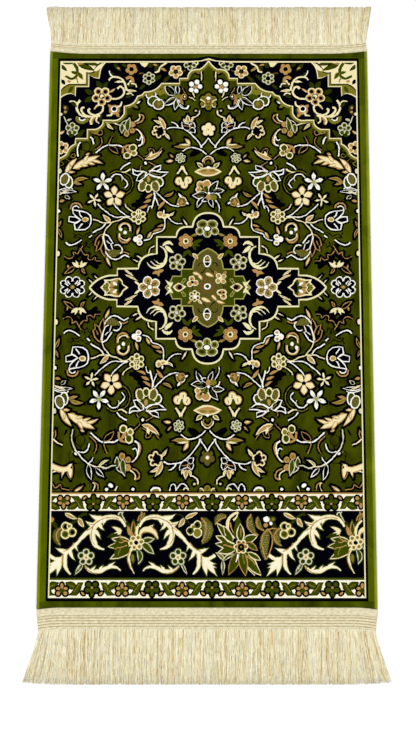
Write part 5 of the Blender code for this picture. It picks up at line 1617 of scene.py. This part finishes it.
def add_slopes(verts, unrolled, faces, colours, left, right):
    """The pile's two ends, where it steps down to the braid, with painted shade on the lower part of the
    slope.
    """
    green = light_of(*INKS["green"])
    slope_shade_colour = (*(part * SLOPE_PAINTED_SHADE for part in green[:3]), 0.5)
    for end in (FOOT, HEAD):
        seam = end["braid"] + GAP
        rows = []
        for share, height in SLOPE:
            row = []
            for x in strip_columns(left, right):
                y = end_y(x, seam + SEAM_STEP * share, end)
                top = pile_height(x, end_y(x, seam + SEAM_STEP, end))
                row.append((x, y, top * height, x, y + end["side"] * (1 - height) * PILE_THICKNESS))
            rows.append(row if end is HEAD else row[::-1])
        add_rows(verts, unrolled, faces, colours, rows,
                 lambda line, _: green if line < SLOPE_UNSHADED_ROWS else slope_shade_colour)


# The rolled edges: the painted highlight on each side, brighter on the right, and how much of it is painted
# at each step from the top down to the floor, below nought as painted shade; then the painted shadow where
# the roll meets the floor.
ROLL_PAINTED_HIGHLIGHT = {-1: light_of(122, 134, 10, 0.4), 1: light_of(144, 154, 36, 0.4)}
ROLL_PAINTED_SHADING = {-1: (0.5, 0.75, 0.9, 1.0, 0.8, 0.3, -0.2, -0.5), 1: (0.4, 0.6, 0.8, 1.0, 1.0, 0.9, 0.8, 0.6)}
ROLL_PAINTED_SHADOW = light_of(40, 46, 2, 0.1)
RIM_HEIGHT = 0.0002


def add_roll(verts, unrolled, faces, colours, side):
    """The long rolled edge at one side, with painted highlight where the pile curves over it, painted shade
    low on the left roll, and painted shadow at its foot.
    """
    green = np.array(light_of(*INKS["green"]))
    painted_highlight = np.array(ROLL_PAINTED_HIGHLIGHT[side])
    rows = []
    for line in range(PILE_ROWS + 1):
        row = []
        for step in range(ROLL_STEPS + 1):
            reach = HALF_WIDTH - EDGE_ROUND + EDGE_ROUND * math.sin(math.pi / 2 * step / ROLL_STEPS)
            low, high = pile_ends(reach)
            y = low + (high - low) * line / PILE_ROWS
            top = pile_height(HALF_WIDTH, y)
            foot = min(EDGE_HEIGHT, top * SIDE_SHARE)
            z = foot + (top - foot) * edge_share(reach)
            row.append((side * reach, y, z, side * (reach + top - z), y))
        x, y, _, _, along = row[-1]
        row.append((x, y, RIM_HEIGHT, side * (HALF_WIDTH + PILE_THICKNESS), along))
        rows.append(row if side > 0 else row[::-1])

    # Painted shadow on the last face, painted highlight and shade up the roll.
    def colour_of(_, column):
        step = column if side > 0 else ROLL_STEPS - column
        return ROLL_PAINTED_SHADOW if step >= ROLL_STEPS else green + (painted_highlight - green) * ROLL_PAINTED_SHADING[side][step]

    add_rows(verts, unrolled, faces, colours, rows, colour_of)


# ---------------------------------------------------------------- ground weave beneath the pile
BASE_INSET = 0.0005          # the ground weave keeps this far inside the pile
BASE_COLUMNS = 60
BASE_ROWS = 100
BASE_ROLL_STEPS = 5


def cloth_columns():
    inner = HALF_WIDTH - EDGE_ROUND - BASE_INSET
    half = [inner + EDGE_ROUND * math.sin(math.pi / 2 * step / BASE_ROLL_STEPS)
            for step in range(BASE_ROLL_STEPS + 1)]
    return [-x for x in half[::-1]] + spread(-inner, inner, BASE_COLUMNS)[1:-1] + half


def closed_slab(name, top, base, material):
    """Close two grids of points into one solid."""
    width = len(top[0])
    height = len(top)
    points = [point for row in top + base for point in row]
    offset = width * height
    faces = []
    for quad in grid_quads(0, height, width):
        faces.append(quad)
        faces.append([offset + index for index in quad[::-1]])
    rim = list(range(width))
    rim += [line * width + width - 1 for line in range(1, height)]
    rim += [(height - 1) * width + column for column in range(width - 2, -1, -1)]
    rim += [line * width for line in range(height - 2, 0, -1)]
    for first, second in zip(rim, rim[1:] + rim[:1]):
        faces.append([second, first, offset + first, offset + second])
    return add_mesh(name, points, faces, material)


def build_base(material):
    columns = cloth_columns()
    lines = []
    for end in (FOOT, HEAD):
        seam = end["braid"] + GAP
        rows = [(end["braid"] - end["lap"] + BASE_INSET, GROUND_THICKNESS), (seam, GROUND_THICKNESS),
                (seam + SEAM_STEP + BASE_INSET, PILE_THICKNESS - 2 * BASE_INSET)]
        lines.append([[(x, end_y(x, inward, end), height) for x in columns] for inward, height in rows])
    foot, head = lines[0], lines[1][::-1]
    middle = []
    for share in spread(0.0, 1.0, BASE_ROWS)[1:-1]:
        middle.append([(low[0], low[1] + (high[1] - low[1]) * share, low[2])
                       for low, high in zip(foot[-1], head[0])])
    top = []
    base = []
    for line in foot + middle + head:
        top_row = []
        for x, y, height in line:
            side = min(EDGE_HEIGHT, height * SIDE_SHARE)
            z = side + (height - side) * edge_share(x, HALF_WIDTH - BASE_INSET)
            top_row.append((*place(x, y), z))
        top.append(top_row)
        base.append([(x, y, 0.0) for x, y, _ in top_row])
    piece = closed_slab("ground_weave", top, base, material)
    return piece


# ---------------------------------------------------------------- braids
BRAID_COLUMN = 0.0008
CORD_TWIST = 0.0024          # length of one turn of a cord
TWIST_SLANT = 0.0033         # the turns shift by one over this distance across the braid
CORD_SWELL = 0.00012
# Section of a cord: share of its width, share of its height, tone (painted shade: 0 in the groove, 1 on the
# cord's top)
CORD_SHAPE = ((0.0, 0.0, 0.0), (0.14, 0.62, 0.45), (0.32, 0.95, 1.0), (0.5, 0.9, 0.8), (0.68, 0.95, 1.0),
              (0.86, 0.62, 0.45))
# The braid's colour on its cord tops, and the painted shade of its grooves.
BRAID_TOP = (242, 234, 200)
BRAID_PAINTED_SHADE = (160, 138, 84)
BRAID_MOTTLE = 0.42
# Painted shade that darkens each turn of a cord in its trough.
TWIST_PAINTED_SHADE = 0.07
PICK = 0.0012                # one pick of the plain part
PICK_RISE = 0.0001
PICK_SHARE = 0.96            # where the groove after a pick lies, as a share of the pick
# Painted shade in the groove after each pick, and at the braid's outer edge where it meets the floor.
PICK_GROOVE_SHADE = 0.62           # its tone
OUTER_EDGE_SHADE = 0.2


def braid_profile(end):
    """Section of a braid from its inner edge: (distance, underside, top, tone of painted shade)."""
    seat = GROUND_THICKNESS + GAP
    lap = end["lap"]
    rows = [(GAP, seat, seat + BRAID_THICKNESS - RIB_DIP, 1.0)]
    picks = round(lap / PICK)
    for pick in range(picks):
        share = (pick + 0.5) / picks
        rows.append((GAP + lap * share, seat, seat + BRAID_THICKNESS + PICK_RISE, 1.0))
        groove = GAP + lap * (pick + PICK_SHARE) / picks
        rows.append((groove, seat, seat + BRAID_THICKNESS - PICK_RISE, PICK_GROOVE_SHADE))
    start = lap + GAP
    pitch = (end["braid"] - start) / end["cords"]
    for cord in range(end["cords"]):
        for share, height, tone in CORD_SHAPE:
            distance = start + (cord + share) * pitch
            drop = max(0.0, 1 - (distance - start) / RAMP)
            under = seat if distance <= start else 0.0
            top = BRAID_THICKNESS - RIB_DIP + (RIB_RISE + RIB_DIP) * height + seat * drop
            rows.append((distance, under, top, tone))
    rows.append((end["braid"], 0.0, BRAID_THICKNESS - RIB_DIP, OUTER_EDGE_SHADE))
    return rows


def build_braid(name, end, material):
    count = round(BODY_WIDTH / BRAID_COLUMN)
    columns = spread(-HALF_WIDTH, HALF_WIDTH, count)
    dark = np.array(light_of(*BRAID_PAINTED_SHADE)[:3])
    light = np.array(light_of(*BRAID_TOP)[:3])
    rows = []
    for distance, under, height, tone in braid_profile(end):
        squeeze = 1 - end["taper"] / HALF_WIDTH * distance / end["braid"]
        top_row = []
        base_row = []
        tone_row = []
        for x in columns:
            twist = math.sin(2 * math.pi * (x / CORD_TWIST + distance / TWIST_SLANT))
            spot = place(x * squeeze, end_y(x, end["braid"] - distance, end))
            top_row.append((*spot, height + CORD_SWELL * twist * tone))
            base_row.append((*spot, under))
            # Painted shade: darker in the grooves and twist troughs, with random mottle over it.
            mottle = noise.noise(Vector((x * 210, distance * 520, end["side"] * 2.0)))
            shade = tone * (1 - TWIST_PAINTED_SHADE + TWIST_PAINTED_SHADE * twist) + BRAID_MOTTLE * mottle
            tone_row.append(min(1.0, max(0.0, shade)))
        rows.append((top_row, base_row, tone_row))
    if end is FOOT:
        rows.reverse()
    top, base, tones = (list(part) for part in zip(*rows))
    piece = closed_slab(name, top, base, material)
    colours = []
    for line in range(len(top) - 1):
        for column in range(count):
            tone = (tones[line][column] + tones[line + 1][column + 1]) / 2
            colour = (*(dark + (light - dark) * tone), 1.0)
            colours += [colour, colour]
    colours += [(*light, 1.0)] * (len(piece.data.polygons) - len(colours))
    set_colours(piece, colours)
    return piece


# ---------------------------------------------------------------- loose yarn
YARN_STATIONS = (0.0, 0.05, 0.16, 0.3, 0.44, 0.58, 0.72, 0.86, 1.0)
YARN_TONES = ((196, 160, 88), (255, 246, 202), (255, 252, 230))
YARN_INSET = 0.0006          # the outermost yarn keeps this far inside the braid
YARN_JITTER = 0.4            # how far a root is shifted, as a share of the spacing
YARN_SHORT = 0.0020          # how much the lengths differ
YARN_LEAN = 0.0014
YARN_CLUMP = 0.0016          # how far neighbours lean together
YARN_WAVES = (((0.0002, 0.0007), (1.2, 2.6)), ((0.0001, 0.0003), (3.0, 5.0)))    # sizes and turns
YARN_SIDES = 3
YARN_TAPER = 0.3
YARN_FLATNESS = 0.3          # height of a yarn as a share of its width
YARN_SEAT = 0.4              # how far its two lower edges lie under its middle, as a share of its height
YARN_MOTTLE = 0.32           # how much its tone changes along it
UNDER_YARNS = 620            # broad, even yarns underneath
UNDER_LIFT = 0.0005
UNDER_WIDTH = 0.00062
# Painted shade: the yarns underneath are toned darker, showing as dark gaps between the yarns on top.
UNDER_PAINTED_SHADE = -0.3
UPPER_YARNS = 1700           # fine yarns on top
UPPER_LIFT = (0.0006, 0.0010)
UPPER_WIDTH = (0.00020, 0.00036)
UPPER_TONE = (0.14, 0.62)    # mean and spread
UPPER_SWAY = 0.00012
LOOPS = 172
LOOP_SIDES = 8
LOOP_RINGS = ((-1.0, 0.05), (-0.5, 0.85), (0.3, 1.0), (1.0, 0.1))
LOOP_OUT = 0.0006            # how far the middle of a loop lies outside the braid
LOOP_LENGTH = 0.0013
LOOP_WIDTH = 0.00062
LOOP_LIFT = 0.0012
LOOP_HEIGHT = 0.0007
LOOP_TONE = 0.9
LOOP_MOTTLE = 0.25


def yarn_tone(value):
    """Colour between the shaded, the usual and the brightest yarn, for a value from -1 to 1."""
    low, middle, high = (np.array(light_of(*tone)[:3]) for tone in YARN_TONES)
    value = max(-1.0, min(1.0, value))
    return (*(middle + (high - middle) * value if value > 0 else middle + (middle - low) * value), 1.0)


def yarn_path(x_root, end, chance):
    """Stations of one yarn: (x, y) in the squared-up rug."""
    sign = 1 if x_root > 0 else -1
    splay = max(0.0, (abs(x_root) - (HALF_WIDTH - end["fan"])) / end["fan"])
    length = end["fringe"] + end["corner_reach"] * splay - abs(chance.gauss(0.0, YARN_SHORT))
    lean = sign * end["flare"] * splay ** SPLAY_POWER + chance.gauss(0.0, YARN_LEAN)
    turn = math.atan2(abs(lean), length)
    droop = corner_droop(x_root, end)
    clump = noise.noise(Vector((x_root * 150, end["side"] * 3.1, 0.0))) * YARN_CLUMP
    waves = [(chance.uniform(*sizes), chance.uniform(*turns), chance.uniform(0, 2 * math.pi))
             for sizes, turns in YARN_WAVES]
    path = []
    for share in YARN_STATIONS:
        reach = length * share * math.cos(turn * share)
        x = x_root + lean * share ** FLARE_POWER + clump * math.sin(math.pi * min(1.0, share * 1.15))
        for size, turns, phase in waves:
            x += size * min(1.0, share * 4) * math.sin(phase + 2 * math.pi * turns * share)
        path.append((x, end_y(x_root, 0.0, end) + end["side"] * (reach - droop * share)))
    return path


def add_yarn(points, faces, colours, path, lifts, width, tones, turned):
    """One three-sided tube along a path, with its own tone at each stretch."""
    faces += tube_quads(len(points), len(path), YARN_SIDES, turned)
    for (x, y), lift, share in zip(path, lifts, YARN_STATIONS):
        size = width * (1 - YARN_TAPER * share ** 3)
        x, y = place(x, y)
        points.append((x - size, y, lift - size * YARN_SEAT * YARN_FLATNESS))
        points.append((x + size, y, lift - size * YARN_SEAT * YARN_FLATNESS))
        points.append((x, y, lift + size * YARN_FLATNESS))
    faces.append([len(points) - 3, len(points) - 2, len(points) - 1])
    for tone in tones:
        colours += [tone] * YARN_SIDES
    colours.append(tones[-1])


def add_loop(points, faces, colours, x, end, chance):
    """The bright loop where a bundle of yarn leaves the braid."""
    quads = tube_quads(len(points), len(LOOP_RINGS), LOOP_SIDES, end is FOOT)
    middle = end_y(x, -LOOP_OUT, end)
    for along, size in LOOP_RINGS:
        for side in range(LOOP_SIDES):
            angle = 2 * math.pi * side / LOOP_SIDES
            spot = place(x + LOOP_WIDTH * size * math.cos(angle),
                         middle + end["side"] * LOOP_LENGTH * along)
            points.append((*spot, LOOP_LIFT + LOOP_HEIGHT * size * math.sin(angle)))
    faces += quads
    colours += [yarn_tone(LOOP_TONE + chance.gauss(0.0, LOOP_MOTTLE)) for _ in quads]


def build_fringe(name, end, material, seed):
    """Loose yarn of one end in two layers, as one mesh of three-sided tubes."""
    chance = random.Random(seed)
    half = HALF_WIDTH - end["taper"] - YARN_INSET
    points = []
    faces = []
    colours = []
    for upper, count in ((False, UNDER_YARNS), (True, UPPER_YARNS)):
        for yarn in range(count):
            x_root = -half + (yarn + 0.5 + chance.uniform(-YARN_JITTER, YARN_JITTER)) * 2 * half / count
            path = yarn_path(x_root, end, chance)
            height = chance.uniform(*UPPER_LIFT) if upper else UNDER_LIFT
            phase = chance.uniform(0.0, 2 * math.pi)
            sway = UPPER_SWAY if upper else 0.0
            lifts = [height + sway * math.sin(5 * share + phase) for share in YARN_STATIONS]
            width = chance.uniform(*UPPER_WIDTH) if upper else UNDER_WIDTH
            # The yarns underneath take the painted shade tone; those on top a random tone.
            tone = chance.gauss(*UPPER_TONE) if upper else UNDER_PAINTED_SHADE
            tones = [yarn_tone(tone + chance.gauss(0.0, YARN_MOTTLE)) for _ in YARN_STATIONS[1:]]
            add_yarn(points, faces, colours, path, lifts, width, tones, end is HEAD)
    for loop in range(LOOPS):
        x = -half + (loop + 0.5) * 2 * half / LOOPS
        add_loop(points, faces, colours, x, end, chance)
    piece = add_mesh(name, points, faces, material)
    set_colours(piece, colours)
    return piece


# ---------------------------------------------------------------- sewing
STITCHES = 96                # zigzags of sewing thread along each braid
STITCH_SIZE = 0.00022
STITCH_SIDES = 5
STITCH_LIFT = 0.0001
STITCH_INSET = 0.002
STITCH_TURNS = (0.16, 0.84)  # where the zigzag turns, as shares of the lap
# A stitch along its length: share of its length, rise over the braid
STITCH_BOW = ((0.0, -0.00035), (0.12, 0.0001), (0.5, 0.0001), (0.88, 0.0001), (1.0, -0.00035))


def build_stitches(name, end, material):
    """Zigzag of sewing thread that holds the lapped part of a braid down."""
    points = []
    faces = []
    top = GROUND_THICKNESS + GAP + BRAID_THICKNESS + STITCH_LIFT
    half = HALF_WIDTH - STITCH_INSET
    near, far = (end["braid"] - end["lap"] * share for share in STITCH_TURNS)
    for stitch in range(2 * STITCHES):
        x0 = -half + stitch * half / STITCHES
        x1 = x0 + half / STITCHES
        first, last = (near, far) if stitch % 2 else (far, near)
        faces += tube_quads(len(points), len(STITCH_BOW), STITCH_SIDES)
        for share, rise in STITCH_BOW:
            x = x0 + (x1 - x0) * share
            y = end_y(x, first + (last - first) * share, end)
            lift = top + rise
            for side in range(STITCH_SIDES):
                angle = 2 * math.pi * side / STITCH_SIDES
                spot = place(x, y + STITCH_SIZE * math.cos(angle))
                points.append((*spot, lift + STITCH_SIZE * math.sin(angle)))
    piece = add_mesh(name, points, faces, material)
    return piece


# ---------------------------------------------------------------- materials
COTTON_GLOSS = 0.04
PILE_GLOSS = 0.015
WAVE_SCALE = 0.314           # a wave of this scale has one rib to the metre
THREAD_TONE = light_of(248, 244, 226)
BACK_TONE = light_of(150, 146, 96)
# Painted shade of the backing's weave in its hollows.
BACK_SHADE = light_of(84, 84, 40)
YARN_LEVEL = 1.4             # how far a yarn's shading is drawn towards level, on its top and underneath
YARN_LEANING = 0.75          # sides that lean over by less than this shade as the top does
MIX_SOCKETS = {"FLOAT": (2, 3, 0), "RGBA": (6, 7, 2)}    # first input, second input, output


def new_material(name, roughness, gloss=0.5):
    """A material, with its node tree and its shader."""
    material = bpy.data.materials.new(name)
    material.use_nodes = True
    shader = material.node_tree.nodes["Principled BSDF"]
    shader.inputs["Roughness"].default_value = roughness
    shader.inputs["Specular IOR Level"].default_value = gloss
    return material, material.node_tree, shader


def feed(tree, node, inputs):
    """Set a node's inputs, each to a value or to another node's output."""
    for key, value in inputs.items():
        if isinstance(value, bpy.types.NodeSocket):
            tree.links.new(value, node.inputs[key])
        else:
            node.inputs[key].default_value = value


def texture_place(tree):
    return tree.nodes.new("ShaderNodeTexCoord").outputs["Object"]


def ink_node(tree):
    node = tree.nodes.new("ShaderNodeAttribute")
    node.attribute_name = "Ink"
    return node


def noise_fac(tree, spot, scale, detail, more=()):
    node = tree.nodes.new("ShaderNodeTexNoise")
    feed(tree, node, {"Vector": spot, "Scale": scale, "Detail": detail, **dict(more)})
    return node.outputs["Fac"]


def ranged(tree, value, low, high, start=0.0, end=1.0):
    """A number moved from one range to another."""
    node = tree.nodes.new("ShaderNodeMapRange")
    feed(tree, node, {"Value": value, "From Min": start, "From Max": end, "To Min": low, "To Max": high})
    return node.outputs["Result"]


def worked(tree, operation, *values):
    node = tree.nodes.new("ShaderNodeMath")
    node.operation = operation
    feed(tree, node, dict(enumerate(values)))
    return node.outputs["Value"]


def vectors(tree, operation, inputs):
    node = tree.nodes.new("ShaderNodeVectorMath")
    node.operation = operation
    feed(tree, node, inputs)
    return node.outputs["Vector"]


def mixed(tree, kind, share, first, second):
    node = tree.nodes.new("ShaderNodeMix")
    node.data_type = kind
    one, other, result = MIX_SOCKETS[kind]
    feed(tree, node, {0: share, one: first, other: second})
    return node.outputs[result]


def paint(tree, shader, colour, tone):
    """Colour a shader, brighter or darker by a tone."""
    feed(tree, shader, {"Base Color": vectors(tree, "SCALE", {0: colour, "Scale": tone})})


def add_bump(tree, shader, height, strength, distance):
    bump = tree.nodes.new("ShaderNodeBump")
    feed(tree, bump, {"Height": height, "Strength": strength, "Distance": distance})
    feed(tree, shader, {"Normal": bump.outputs["Normal"]})


def weave_height(tree, pitch):
    """Height of a plain weave: ribs that cross in two directions, and fluff."""
    spot = texture_place(tree)
    ribs = []
    for direction in ("X", "Y"):
        wave = tree.nodes.new("ShaderNodeTexWave")
        wave.bands_direction = direction
        feed(tree, wave, {"Vector": spot, "Scale": WAVE_SCALE / pitch, "Distortion": 0.6})
        ribs.append(wave.outputs["Fac"])
    crossing = worked(tree, "MULTIPLY", *ribs)
    return worked(tree, "MULTIPLY_ADD", crossing, 0.5, noise_fac(tree, spot, 240.0, 4.0))


def pile_material():
    """Cut pile in the inks of the pattern, with lengthwise streaks on the green ground: partly uneven dye,
    partly painted shading where the pile lies in different directions.
    """
    material, tree, shader = new_material("cut_pile", 0.95, PILE_GLOSS)
    spot = texture_place(tree)
    ink = ink_node(tree)
    # Streaks: partly uneven dye, partly painted light and shade of the pile's lie.
    stretch = tree.nodes.new("ShaderNodeMapping")
    feed(tree, stretch, {"Vector": spot, "Scale": (34.0, 17.0, 1.0)})
    streak = noise_fac(tree, stretch.outputs["Vector"], 1.0, 5.0, {"Roughness": 0.60, "Distortion": 0.7})
    streaks = ranged(tree, streak, 0.42, 1.55, 0.30, 0.72)
    streaked = mixed(tree, "FLOAT", ink.outputs["Alpha"], 1.0, streaks)
    tuft = noise_fac(tree, spot, 900.0, 2.0)
    tone = worked(tree, "MULTIPLY", streaked, ranged(tree, tuft, 0.73, 1.09))
    paint(tree, shader, ink.outputs["Color"], tone)
    add_bump(tree, shader, tuft, 0.5, 0.0006)
    return material


def braid_material():
    """Cotton braid in the colours of its cords, with their painted groove shade, and a fine weave painted
    darker where it sinks.
    """
    material, tree, shader = new_material("braid_cotton", 0.9, COTTON_GLOSS)
    height = weave_height(tree, 0.0011)
    # Painted shade: the weave's low parts are toned darker.
    paint(tree, shader, ink_node(tree).outputs["Color"], ranged(tree, height, 0.73, 1.06))
    add_bump(tree, shader, height, 0.6, 0.0004)
    return material


def backing_material():
    """Ground weave as it shows from beneath: a jute-coloured plain weave, painted a darker olive as shade
    where the weave sinks.
    """
    material, tree, shader = new_material("backing_weave", 0.92, COTTON_GLOSS)
    height = weave_height(tree, 0.0022)
    feed(tree, shader, {"Base Color": mixed(tree, "RGBA", height, BACK_SHADE, BACK_TONE)})
    add_bump(tree, shader, height, 0.8, 0.0005)
    return material


def yarn_material():
    """Loose cotton yarn, in its own tone, shaded as if its sides faced upwards."""
    material, tree, shader = new_material("loose_yarn", 0.85, COTTON_GLOSS)
    fluff = noise_fac(tree, texture_place(tree), 320.0, 3.0)
    paint(tree, shader, ink_node(tree).outputs["Color"], ranged(tree, fluff, 0.86, 1.1))
    normal = tree.nodes.new("ShaderNodeNewGeometry").outputs["Normal"]
    parts = tree.nodes.new("ShaderNodeSeparateXYZ")
    feed(tree, parts, {"Vector": normal})
    upright = worked(tree, "SIGN", worked(tree, "ADD", parts.outputs["Z"], YARN_LEANING))
    push = vectors(tree, "SCALE", {0: (0.0, 0.0, YARN_LEVEL), "Scale": upright})
    raised = vectors(tree, "ADD", {0: normal, 1: push})
    feed(tree, shader, {"Normal": vectors(tree, "NORMALIZE", {0: raised})})
    return material


def plain_material(name, colour, roughness):
    material, _, shader = new_material(name, roughness)
    shader.inputs["Base Color"].default_value = colour
    return material


# ---------------------------------------------------------------- the rug
pattern = make_chart()
pile = pile_material()
braid_weave = braid_material()
backing = backing_material()
thread = plain_material("sewing_thread", THREAD_TONE, 0.8)
yarn = yarn_material()

strips = [build_strip(number, pattern, pile) for number in range(len(STRIPS) - 1)]
base = build_base(backing)
braid_head = build_braid("braid_head", HEAD, braid_weave)
braid_foot = build_braid("braid_foot", FOOT, braid_weave)
yarns_head = build_fringe("yarns_head", HEAD, yarn, SEED)
yarns_foot = build_fringe("yarns_foot", FOOT, yarn, SEED + 1)
stitches_head = build_stitches("stitches_head", HEAD, thread)
stitches_foot = build_stitches("stitches_foot", FOOT, thread)

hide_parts("rug_cloth")
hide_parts("fringe_head")
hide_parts("fringe_foot")

# ---------------------------------------------------------------- floor, light and camera
FLOOR_SIZE = 12.0
FLOOR_TONE = (0.95, 0.95, 0.95, 1.0)
# Broad lights: name, where each shines from, softness in degrees, strength
SUNS = (("key", (-1.1, 1.0, 2.0), 22, 1.38), ("fill", (1.4, -0.8, 2.2), 40, 0.61))
SKY_TONE = (1.0, 1.0, 1.0, 1.0)
SKY_STRENGTH = 0.66
CAMERA_LENS = 40.0
CAMERA_SENSOR = 36.0
CAMERA_TARGET = Vector((0.0016, -0.0688, 0.006))
CAMERA_PLACE = CAMERA_TARGET + Vector((0.0, -0.1377, 1.2465))


def aim(direction):
    """Turn that points a light or a camera along a direction."""
    return direction.to_track_quat("-Z", "Y").to_euler()


bpy.ops.mesh.primitive_plane_add(size=FLOOR_SIZE, location=(0, 0, 0))
floor = bpy.context.object
floor.name = "floor"
floor.data.materials.append(plain_material("pale_floor", FLOOR_TONE, 0.8))

for sun_name, sun_place, softness, strength in SUNS:
    sun = bpy.data.lights.new(sun_name, "SUN")
    sun.angle = math.radians(softness)
    sun.energy = strength
    light = bpy.data.objects.new(sun_name, sun)
    light.location = sun_place
    light.rotation_euler = aim(-Vector(sun_place))
    bpy.context.scene.collection.objects.link(light)

world = bpy.data.worlds.new("studio")
world.use_nodes = True
sky = world.node_tree.nodes["Background"]
sky.inputs["Color"].default_value = SKY_TONE
sky.inputs["Strength"].default_value = SKY_STRENGTH
bpy.context.scene.world = world
bpy.context.scene.view_settings.view_transform = "Standard"

camera_data = bpy.data.cameras.new("camera")
camera_data.lens = CAMERA_LENS
camera_data.sensor_width = CAMERA_SENSOR
camera = bpy.data.objects.new("camera", camera_data)
camera.location = CAMERA_PLACE
camera.rotation_euler = aim(CAMERA_TARGET - CAMERA_PLACE)
bpy.context.scene.collection.objects.link(camera)
bpy.context.scene.camera = camera
